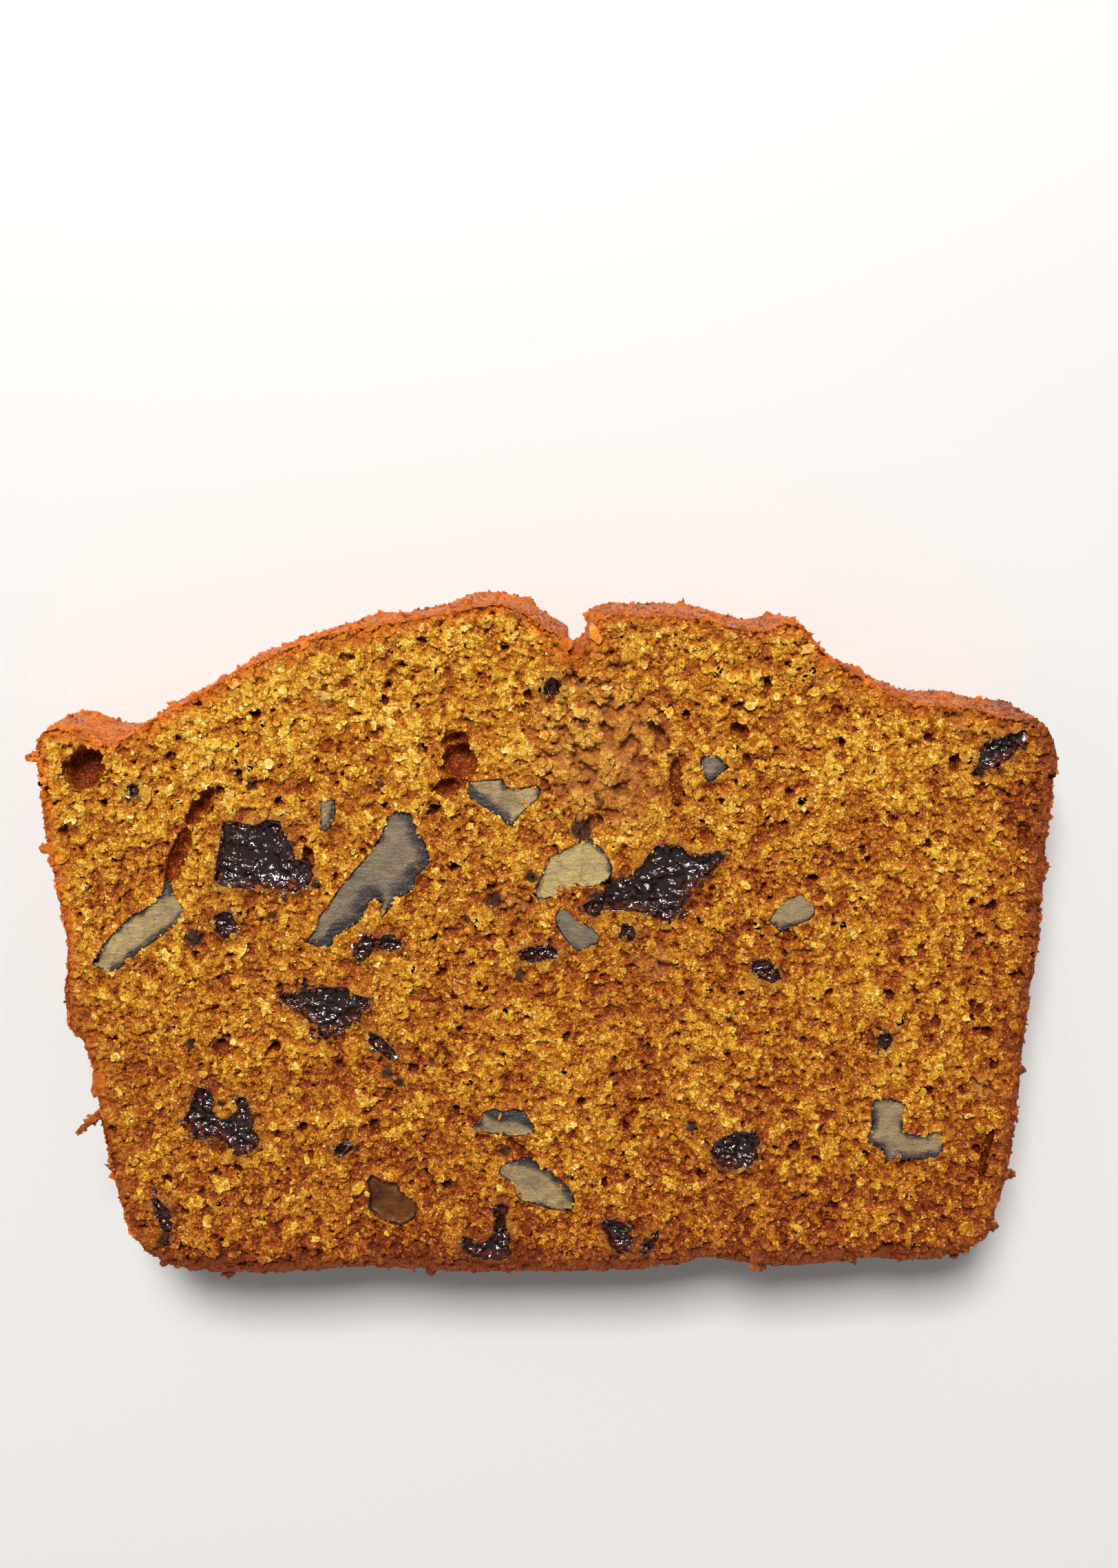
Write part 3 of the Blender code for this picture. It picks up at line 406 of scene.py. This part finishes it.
def crumb_block(name, low, high, voxel):
    """One block of the crumb. It is torn while it is too wide and then cut, so that it meets the next."""
    piece = merged_copy(name, nodes["crumb"])
    cut_block(piece, np.array(low) - SPARE, np.array(high) + SPARE)
    modify(piece, "REMESH", mode="VOXEL", voxel_size=voxel * MM)
    places, normals = points_of(piece)
    rim, _ = distances(wall_tree, places, RIM_REACH)
    near, spots = distances(piece_tree, places, PIECE_REACH)
    stained, _ = distances(fruit_tree, places, FRUIT_REACH)
    moist = patches(places, MOIST)
    stain = np.maximum(0.62 - 0.62 * ramp(stained, 0.2, 1.4),
                       patches(places, [((x, y), (reach, reach)) for x, y, reach in STAINS]))
    wall = (1.0 - ramp(np.abs(normals[:, 2]), 0.5, 0.8)) * (1.0 - ramp(rim, 0.3, 0.6))
    depth, dark = torn_depth(places, moist, wall)
    below = np.minimum(places[:, 2], TOP - places[:, 2]) * (1.0 - wall)
    in_hole = ramp(below, 0.15, 0.6)
    hug = 1.0 - ramp(near, 0.34, 0.7)
    upright = np.sign(normals[:, 2:]) * (0.0, 0.0, 1.0)
    down = np.where(wall[:, None] > 0.5, normals, 0.25 * normals + 0.75 * upright)
    shaped = places - down * (depth * (1.0 - 0.55 * in_hole) * (1.0 - hug))[:, None]
    shaped += (spots - places) * (1.1 * hug[:, None])
    shaped[:, 2] = np.clip(shaped[:, 2], 0.0, TOP)
    move_points(piece, shaped)
    # Painted shade: darker in the tears and pores, inside holes, and the deeper below the cut.
    sunk = dark * (1.0 - 0.4 * in_hole) + 0.38 * in_hole + 0.18 * np.clip(below, 0.0, 4.0)
    remember(piece, sunk=sunk, rim=rim, moist=moist, stain=stain, tint=painted_light_and_shade(places))
    modify(piece, "DECIMATE", ratio=KEPT)
    places, _ = points_of(piece)
    places[:, 2] = np.clip(places[:, 2], 0.0, TOP)
    move_points(piece, places)
    cut_block(piece, low, high)
    for face in piece.data.polygons:
        face.use_smooth = len(face.vertices) < CAP_CORNERS
    serve(piece, crumb_finish, "crumb", "crumb")
    return piece


crumb_blocks = [crumb_block(name, *extent) for name, extent in CRUMB_BLOCKS.items()]

# Torn flakes, grains and a few larger lumps of the same crumb stand all over the cut faces, as the
# knife leaves them. A few forms of each are modelled and copied many times. Lumps are counted for
# the moist patches alone, where nearly all of them lie.
FORMS = 24                  # how many forms each kind has
FORM_CORNERS = {"plate": 9, "flake": 5, "grain": 4}     # along a form's edge
FORM_HEIGHTS = {"plate": (0.02, -0.3), "flake": (0.06, -0.5), "grain": (0.8, -0.8)}     # top and underside
FORM_DENTS = {"plate": 0.06, "flake": 0.12, "grain": 0.12}      # how far its corners are knocked up or down
SCATTERED = {               # how many a square millimetre of each block, and their radius
    "crumb_front": (("plate", 1.15, 0.22), ("flake", 1.6, 0.15), ("grain", 1.1, 0.09), ("lump", 0.8, 0.34)),
    "crumb_rear": (("plate", 0.3, 0.31), ("flake", 0.4, 0.22), ("grain", 0.35, 0.13)),
}
FEW_LUMPS = 0.003           # how many lumps lie outside the moist patches, for each one in them
ON_CRUST = ("grain", 1.4, 0.18)    # the same for the crust
LEANING = {"plate": 0.13, "flake": 0.2, "grain": 3.0, "lump": 0.3}    # how much each kind tilts
PAINTED_EDGE_HIGHLIGHT = 0.5             # how much lighter a plate is at its edge, a painted highlight


def rough_forms(kind, draw):
    """The corners, the faces and the edge of a few pieces of one kind, knocked out of true."""
    bpy.ops.object.select_all(action="DESELECT")
    if kind == "lump":
        bpy.ops.mesh.primitive_ico_sphere_add(subdivisions=2, radius=1.0)
    else:
        bpy.ops.mesh.primitive_cone_add(vertices=FORM_CORNERS[kind], radius1=1.0, depth=0.4,
                                        end_fill_type="TRIFAN")
    start = bpy.context.object
    corners = np.array([vert.co[:] for vert in start.data.vertices])
    faces = np.array([face.vertices[:] for face in start.data.polygons])
    bpy.data.objects.remove(start)
    forms = np.repeat(corners[None], FORMS, axis=0)
    if kind == "lump":
        swell = np.array([1.0 + 0.6 * waves(corners, 1.1, shift) + 0.25 * waves(corners, 2.9, shift)
                          for shift in draw.uniform(0.0, 90.0, FORMS)])
        return forms * swell[..., None] * (1.0, 1.0, 0.5), faces, np.zeros(len(corners))
    ring = np.linalg.norm(corners[:, :2], axis=1) > 0.5
    high, low = FORM_HEIGHTS[kind]
    forms[..., :2] *= draw.uniform(0.45, 1.35, (FORMS, len(corners), 1))
    forms[..., 2] = np.where(ring, 0.0, np.where(corners[:, 2] > 0, high, low))
    forms[..., 2] += FORM_DENTS[kind] * draw.uniform(-1.0, 1.0, (FORMS, len(corners)))
    return forms, faces, ring * 1.0


KNOWN = ("sunk", "rim", "moist", "stain")   # what each vertex of a block keeps
FACE_DEPTH = 2.5            # how deep below the cut a spot still is one of the cut face
CRUST_REACH = 0.7           # how near the crust a spot is one of the crust
SIZES_VARY = {"plate": 0.4, "flake": 0.4, "grain": 0.4, "lump": 0.25}
LONG, WIDE = (0.8, 1.7), (0.7, 1.2)     # a piece's length and width, for its size
LIFT = (-0.05, 0.3)         # how far its middle stands off the crumb, for its size
CLEARANCE = (0.005, 0.12)   # how far it stays inside the slice's widest points


def face_of(block, facing):
    """The corners, way, kept numbers and areas of a block's triangles in its cut face, or in the crust."""
    mesh = block.data
    mesh.calc_loop_triangles()
    tris = np.empty(len(mesh.loop_triangles) * 3, dtype=np.int32)
    mesh.loop_triangles.foreach_get("vertices", tris)
    tris = tris.reshape(-1, 3)
    places, normals = points_of(block)
    known = np.empty((len(KNOWN), len(places)), dtype=np.float32)
    for numbers, name in zip(known, KNOWN):
        mesh.attributes[name].data.foreach_get("value", numbers)
    corners, way, known = places[tris], normals[tris].mean(axis=1), known[:, tris[:, 0]]
    depth = np.minimum(corners[..., 2], TOP - corners[..., 2]).mean(axis=1)
    if facing:
        keep = (way[:, 2] * facing > 0.25) & (depth < FACE_DEPTH)
    else:
        keep = (np.abs(way[:, 2]) < 0.6) & (known[1] < CRUST_REACH)
    corners = corners[keep]
    area = np.linalg.norm(np.cross(corners[:, 1] - corners[:, 0], corners[:, 2] - corners[:, 0]), axis=1) / 2
    return corners, way[keep], known[:, keep], area


def leaning(normals, lean, draw):
    """Rotations that turn a flake's flat side towards each normal, with a random lean and turn."""
    up = normals + draw.normal(0.0, lean, normals.shape)
    up /= np.linalg.norm(up, axis=1)[:, None]
    along = np.cross(up, draw.normal(size=up.shape))
    along /= np.linalg.norm(along, axis=1)[:, None]
    return np.stack([along, np.cross(up, along), up], axis=2)


def joined(name, corners, faces, **values):
    """One mesh piece of many copies, from the corners of each and the faces that they share."""
    count, each = corners.shape[:2]
    every = (faces[None] + np.arange(count)[:, None, None] * each).reshape(-1, 3)
    mesh = bpy.data.meshes.new(name)
    mesh.vertices.add(count * each)
    mesh.vertices.foreach_set("co", (corners * MM).ravel())
    mesh.loops.add(every.size)
    mesh.loops.foreach_set("vertex_index", every.ravel().astype(np.int32))
    mesh.polygons.add(len(every))
    mesh.polygons.foreach_set("loop_start", np.arange(0, every.size, 3, dtype=np.int32))
    mesh.update(calc_edges=True)
    mesh.shade_flat()
    made = bpy.data.objects.new(name, mesh)
    bpy.context.scene.collection.objects.link(made)
    remember(made, **{key: numbers.ravel() if numbers.ndim == 2 else np.repeat(numbers, each)
                      for key, numbers in values.items()})
    return made


def strew(name, kind, radius, spots, way, facing, draw, food=(crumb_finish, "crumb"), **values):
    """One mesh piece of many flakes, grains or lumps, one on each spot."""
    count = len(spots)
    forms, faces, ring = rough_forms(kind, draw)
    normals = way * 0.5 + np.array((0.0, 0.0, 0.5 * facing))
    size = radius * np.exp(draw.normal(0.0, SIZES_VARY[kind], count))
    spots = spots + normals * (draw.uniform(*LIFT, count) * size)[:, None]
    stretch = np.stack([draw.uniform(*reach, count) for reach in (LONG, WIDE, WIDE)], axis=1) * size[:, None]
    corners = forms[draw.integers(0, FORMS, count)] * stretch[:, None, :]
    corners = np.einsum("nij,nkj->nki", leaning(normals, LEANING[kind], draw), corners)
    corners += spots[:, None, :]
    low, high = np.array(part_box("crumb")) / MM
    margin = draw.uniform(*CLEARANCE, (count, 1, 1))
    corners = np.clip(corners, low + margin, high - margin)
    depth = np.minimum(corners[..., 2], TOP - corners[..., 2])
    # Painted light and shade as on the crumb, a random tone for each piece, and a painted highlight on a
    # plate's edge.
    tint = (draw.uniform(-0.9, 1.1, count) + painted_light_and_shade(spots))[:, None] + PAINTED_EDGE_HIGHLIGHT * ring * (kind == "plate")
    # Painted shade: the deeper below the cut a piece lies, the darker it is coloured.
    sunk = 1.1 * np.minimum(depth, 1.0 if facing else 0.2)
    made = joined(name, corners, faces, sunk=sunk, tint=tint, **values)
    if kind == "lump":
        made.data.shade_smooth()
    serve(made, *food, "crumb")


def scatter(block, facing, kind, density, radius, seed):
    """Strews one kind over a block's cut face, more of it on the shelves than in the holes."""
    draw = np.random.default_rng(seed)
    triangles, way, known, area = face_of(block, facing)
    weight = area * (1.05 - ramp(known[0], 0.25, 0.75)) if facing else area
    if kind == "lump":
        weight = area = weight * (FEW_LUMPS + known[2])
    pick = draw.choice(len(area), size=int(density * area.sum()), p=weight / weight.sum())
    spots = (triangles[pick] * draw.dirichlet((1.0, 1.0, 1.0), len(pick))[..., None]).sum(axis=1)
    home = kind + "s" if facing else "crust_" + kind + "s"
    strew(block.name.replace("crumb", home), kind, radius, spots, way[pick], facing, draw,
          **dict(zip(KNOWN[1:], known[1:, pick])))


for seed, block in enumerate(crumb_blocks):
    side = block.name[:-2]
    for number, (kind, density, radius) in enumerate(SCATTERED[side]):
        scatter(block, 1.0 if side == "crumb_front" else -1.0, kind, density, radius, 10 * seed + number)
    scatter(block, 0.0, *ON_CRUST, 10 * seed + 7)

# The walnuts are broken halves, stirred into the batter and sliced with the crumb: pale waxy meat
# with a faint grain, and a thin dark skin left on parts of their edges.
NUTS = {                    # how tan the meat is, which way its grain runs, and its skin: way and width
    "walnut_left": (1.2, 42, ((140, 0.35), (-45, 0.5))),
    "walnut_long": (0.15, 58, ((60, 0.7), (0, 0.8), (-50, 1.1), (230, 0.6), (150, 0.15))),
    "walnut_upper": (1.0, 10, ((175, 1.7), (235, 0.7), (20, 0.3))),
    "walnut_chip": (0.7, 70, ((0, 0.6), (-70, 0.6))),
    "walnut_grey": (0.0, 30, ((-60, 0.7), (180, 0.4), (30, 0.4))),
    "walnut_middle": (1.45, 25, ((50, 0.3), (200, 0.3))),
    "walnut_under": (0.1, -40, ((190, 0.25), (-30, 0.2))),
    "walnut_right": (0.75, 30, ((-80, 0.35),)),
    "walnut_hook": (0.6, -70, ((80, 0.35), (190, 0.3), (225, 0.6), (0, 0.3))),
    "walnut_low": (0.6, 5, ((80, 1.3), (20, 0.6))),
    "walnut_bottom": (0.85, -35, ((50, 0.7), (-70, 0.2))),
}
NUT_GREY, NUT_TAN, NUT_CREAM = (0.2, 0.148, 0.092), (0.46, 0.3, 0.12), (0.62, 0.44, 0.14)
NUT_SKIN, NUT_SKIN_BROWN = (0.013, 0.012, 0.014), (0.085, 0.044, 0.032)


def own_wall(piece):
    """A search tree of a piece's upright faces."""
    keep = {face.index for face in piece.data.polygons if abs(face.normal.z) < 0.6}
    return tree_of([piece.data], keep)


def cut_piece(name, voxel):
    """A fine closed copy of a node, each vertex's distance from its own side, and the way that side faces."""
    piece = merged_copy(name + "_piece", nodes[name])
    side = own_wall(piece)
    modify(piece, "REMESH", mode="VOXEL", voxel_size=voxel * MM)
    places, normals = points_of(piece)
    found = [side.find_nearest(Vector(place)) for place in places]
    inside = np.array([hit[3] for hit in found])
    ways = np.degrees([math.atan2(hit[1].y, hit[1].x) for hit in found])
    return piece, places, normals, inside, ways


FACES_EACH, FACES_A_SQUARE = 1000, 85   # of a piece, and more for each square millimetre


def thinned(piece, places):
    """Leaves a piece the faces that its cut face needs."""
    width, length = np.ptp(places[:, 0]), np.ptp(places[:, 1])
    wanted = FACES_EACH + FACES_A_SQUARE * width * length
    modify(piece, "DECIMATE", ratio=min(1.0, wanted / (2 * len(piece.data.polygons))))
    lowered, _ = points_of(piece)
    lowered[:, 2] = np.clip(lowered[:, 2], 0.0, TOP)
    move_points(piece, lowered)
    bpy.ops.object.shade_smooth()


def nut_finish(name, grain):
    made, tree, shader = new_finish(name)
    where, turn = tree.nodes.new("ShaderNodeTexCoord"), tree.nodes.new("ShaderNodeMapping")
    turn.inputs["Rotation"].default_value[2] = math.radians(-grain)
    turn.inputs["Scale"].default_value = (0.25, 1.0, 1.0)
    fibres = tree.nodes.new("ShaderNodeTexNoise")
    fibres.inputs["Scale"].default_value = 2.2 / MM
    fibres.inputs["Detail"].default_value = 3.0
    tree.links.new(where.outputs["Object"], turn.inputs["Vector"])
    tree.links.new(turn.outputs["Vector"], fibres.inputs["Vector"])
    flecks, cloud = mottle(tree, 4.5, 2.0, 0.7), mottle(tree, 0.35)
    tan = sums(tree, "ADD", attribute(tree, "tan"), swing(tree, cloud, 1.6))
    colour = blend(tree, spread_out(tree, tan, 0.0, 1.0), NUT_GREY, NUT_TAN)
    colour = blend(tree, spread_out(tree, tan, 0.95, 1.5), colour, NUT_CREAM)
    shade = sums(tree, "ADD", swing(tree, fibres.outputs[0], 0.7), swing(tree, flecks, 1.2))
    veins = sums(tree, "ABSOLUTE", swing(tree, mottle(tree, 0.4, 1.5), 1.0), 0.0)
    dark = tuple(0.42 * part for part in NUT_GREY)
    colour = blend(tree, spread_out(tree, veins, 0.0, 0.03, 0.45, 0.0), colour, dark)
    colour = blend(tree, spread_out(tree, shade, -0.35, 0.45, 0.6, 0.0), colour, dark)
    skin = sums(tree, "ADD", attribute(tree, "skin"), swing(tree, flecks, 0.9))
    colour = blend(tree, spread_out(tree, skin, 0.1, 0.55, 0.0, 0.85), colour, NUT_SKIN_BROWN)
    colour = blend(tree, spread_out(tree, skin, 0.5, 0.95, 0.0, 0.95), colour, NUT_SKIN)
    tree.links.new(colour, shader.inputs["Base Color"])
    tree.links.new(spread_out(tree, flecks, 0.35, 0.65, 0.22, 0.6), shader.inputs["Roughness"])
    bumps(tree, shader, sums(tree, "ADD", fibres.outputs[0], flecks), 0.9, 0.16)
    return made


def skinned(inside, ways, places, skins):
    """Where a nut's cut face shows its skin, from 0 to 1."""
    reach = inside + 0.35 * waves(places, 0.9, 19.0) + 0.3 * waves(places, 0.35, 21.0)
    skin = np.zeros(len(places))
    for way, width in skins:
        towards = ramp(np.cos(np.radians(ways - way)), 0.2, 0.7) * width
        skin = np.maximum(skin, 1.0 - ramp(reach, 0.45 * towards, 2.2 * towards + 0.01))
    return skin


NUT_VOXEL = 0.16
OTHER_NUTS = (0.5, 35, ((90, 0.6), (200, 0.4)))     # the same for those on the rear cut
nut_rims = []
for name in [name for name in PIECES if name.startswith("walnut")]:
    tan, grain, skins = NUTS.get(name, OTHER_NUTS)
    piece, places, normals, inside, ways = cut_piece(name, NUT_VOXEL)
    edge = 1.0 - ramp(inside, 0.0, 0.55)
    dip = 0.06 + 0.32 * np.abs(waves(places, 0.4, 7.0)) + 0.12 * np.abs(waves(places, 1.1, 8.0)) + 0.1 * edge
    ragged = 0.02 + 0.12 * waves(places, 0.9, 9.0) + 0.06 * waves(places, 2.2, 4.0)
    shaped = places - normals * np.where(np.abs(normals[:, 2]) > 0.6, dip, np.maximum(ragged, 0.0))[:, None]
    skin = skinned(inside, ways, places, skins)
    move_points(piece, shaped)
    remember(piece, skin=skin, tan=np.full(len(places), tan))
    nut_rims.append((shaped, normals, inside))
    thinned(piece, places)
    serve(piece, nut_finish(name + "_meat", grain), "walnut", name)

# The prunes are chopped, soft and sticky: near black flesh, wrinkled and wet where the knife tore it,
# with redder patches, most of them towards its edge.
FLESH, FLESH_RED = (0.017, 0.006, 0.005), (0.11, 0.02, 0.011)


def flesh_finish(name):
    made, tree, shader = new_finish(name)
    cloud, creases = mottle(tree, 0.8, 3.0), mottle(tree, 1.6, 1.0)
    creases.node.noise_type = "RIDGED_MULTIFRACTAL"
    creases.node.inputs["Distortion"].default_value = 0.8
    red = sums(tree, "ADD", attribute(tree, "edge"), swing(tree, cloud, 2.0))
    colour = blend(tree, spread_out(tree, red, 0.1, 1.4), FLESH, FLESH_RED)
    tree.links.new(colour, shader.inputs["Base Color"])
    tree.links.new(spread_out(tree, cloud, 0.35, 0.65, 0.1, 0.26), shader.inputs["Roughness"])
    shader.inputs["Specular IOR Level"].default_value = 0.8
    bumps(tree, shader, creases, 0.8, 0.16)
    return made


FRUIT_VOXEL = 0.15
FOLDS_RUN = (0.5, 1.2, 1.0)  # how close together the folds lie each way: they run across the slice
prune_finish = flesh_finish("prune_flesh")
prune_rims = []
for name in [name for name in PIECES if name.startswith("prune")]:
    piece, places, normals, inside, _ = cut_piece(name, FRUIT_VOXEL)
    cut = np.abs(normals[:, 2]) > 0.6
    edge = 1.0 - ramp(inside, 0.0, 0.6)
    bent = places + 0.4 * np.stack([waves(places, 0.7, shift) for shift in (3.0, 6.0, 12.0)], axis=1)
    bent *= FOLDS_RUN
    folds = 0.9 - 0.45 * np.abs(waves(bent, 0.6, 2.0)) - 0.8 * np.abs(waves(bent, 1.2, 5.0)) - 0.5 * np.abs(
        waves(bent, 2.2, 7.0))
    ragged = 0.14 + 0.2 * waves(places, 0.8, 9.0) + 0.1 * waves(places, 2.0, 4.0)
    shaped = places - normals * np.where(cut, 0.06 + np.maximum(folds, 0.0), np.maximum(ragged, 0.0))[:, None]
    move_points(piece, shaped)
    remember(piece, edge=edge)
    prune_rims.append((shaped, normals, inside))
    thinned(piece, places)
    serve(piece, prune_finish, "prune", name)

# The knife has dragged shreds of the prunes over the crumb beside them, and has left a few flakes and
# grains of crumb on the rims of the prunes and nuts, all on the front cut.
SHREDS, SHRED_RADIUS = 1300, 0.23
STRAYS = (("flake", 460, 0.2), ("grain", 700, 0.1))     # the kind, how many and their radius
spots, way, inside = (np.concatenate(parts) for parts in zip(*prune_rims))
draw = np.random.default_rng(90)
weight = np.exp(-inside / 0.12) * (way[:, 2] > -0.2) * (spots[:, 2] > TOP - 1.2)
pick = draw.choice(len(spots), size=SHREDS, p=weight / weight.sum())
beside = spots[pick] + draw.normal(0.0, 0.3, (len(pick), 3))
beside[:, 2] = TOP - draw.uniform(0.1, 0.7, len(pick))
strew("prune_shreds", "flake", SHRED_RADIUS, beside, way[pick], 1.0, draw, (prune_finish, "prune"),
      edge=draw.uniform(-0.6, 0.7, len(pick)))
spots, way, inside = (np.concatenate(parts) for parts in zip(*prune_rims, *nut_rims))
weight = np.exp(-inside / 0.35) * (way[:, 2] > 0.6) * (spots[:, 2] > TOP - 2.5)
for kind, count, radius in STRAYS:
    pick = draw.choice(len(spots), size=count, p=weight / weight.sum())
    strew(f"stray_{kind}s", kind, radius, spots[pick], way[pick], 1.0, draw, rim=np.full(count, RIM_REACH))

# One piece is candied fruit, boiled in sugar until it is clear and brown. It is baked into the crumb
# near the bottom crust, and its cut face is smooth and a little sunk.
AMBER, AMBER_DARK = (0.15, 0.045, 0.007), (0.05, 0.013, 0.003)
piece, places, normals, *_ = cut_piece("amber_fruit", FRUIT_VOXEL)
cut = np.abs(normals[:, 2]) > 0.6
dip = 0.3 + 0.2 * waves(places, 0.5, 7.0) + 0.14 * np.abs(waves(places, 1.2, 8.0))
move_points(piece, places - normals * np.where(cut, dip, 0.12 + 0.1 * waves(places, 1.0, 9.0))[:, None])
thinned(piece, places)
amber_finish, tree, shader = new_finish("candied_fruit")
cloud = mottle(tree, 0.5, 2.0)
amber = blend(tree, spread_out(tree, cloud, 0.35, 0.65), AMBER_DARK, AMBER)
tree.links.new(amber, shader.inputs["Base Color"])
shader.inputs["Roughness"].default_value = 0.42
shader.inputs["Specular IOR Level"].default_value = 0.25
bumps(tree, shader, mottle(tree, 1.8, 3.0), 0.8, 0.2)
serve(piece, amber_finish, "amber_fruit", "amber_fruit")

# The table is plain and pale, and the light comes from a large soft window behind the slice. The
# camera looks down on the cut face, leaning as it does in the photo. Lengths here are in metres.
TABLE_SIZE, TABLE_WHITE = 4.0, (0.73, 0.715, 0.695)
ROOM_WHITE, ROOM_LIGHT = (1.0, 0.98, 0.95), 0.27
bpy.ops.object.select_all(action="DESELECT")
bpy.ops.mesh.primitive_plane_add(size=TABLE_SIZE, location=(0, 0, 0))
floor = bpy.context.object
floor.name = "floor"
floor_finish = bpy.data.materials.new("pale_table")
floor_finish.use_nodes = True
floor_finish.node_tree.nodes["Principled BSDF"].inputs["Base Color"].default_value = (*TABLE_WHITE, 1)
floor.data.materials.append(floor_finish)

CAMERA_PITCH, CAMERA_PLACE = math.radians(9.0), (0.001938, 0.057697, 0.261029)
camera_data = bpy.data.cameras.new("camera")
camera_data.lens = 50.0
camera = bpy.data.objects.new("camera", camera_data)
camera.location = CAMERA_PLACE
camera.rotation_euler = (-CAMERA_PITCH, 0.0, 0.0)
bpy.context.scene.collection.objects.link(camera)
bpy.context.scene.camera = camera
bpy.context.scene.view_settings.view_transform = "Standard"

world = bpy.data.worlds.new("room")
bpy.context.scene.world = world
world.use_nodes = True
world.node_tree.nodes["Background"].inputs["Color"].default_value = (*ROOM_WHITE, 1)
world.node_tree.nodes["Background"].inputs["Strength"].default_value = ROOM_LIGHT


def window(name, place, size, power, target=(0.0, 0.0, 0.01)):
    """A soft rectangular light that looks at the slice."""
    lamp = bpy.data.lights.new(name, "AREA")
    lamp.shape = "SQUARE"
    lamp.size = size
    lamp.energy = power
    holder = bpy.data.objects.new(name, lamp)
    holder.location = place
    aim = Vector(target) - Vector(place)
    holder.rotation_euler = aim.to_track_quat("-Z", "Y").to_euler()
    bpy.context.scene.collection.objects.link(holder)


window("back_window", place=(-0.12, 0.68, 1.08), size=0.36, power=19.4)
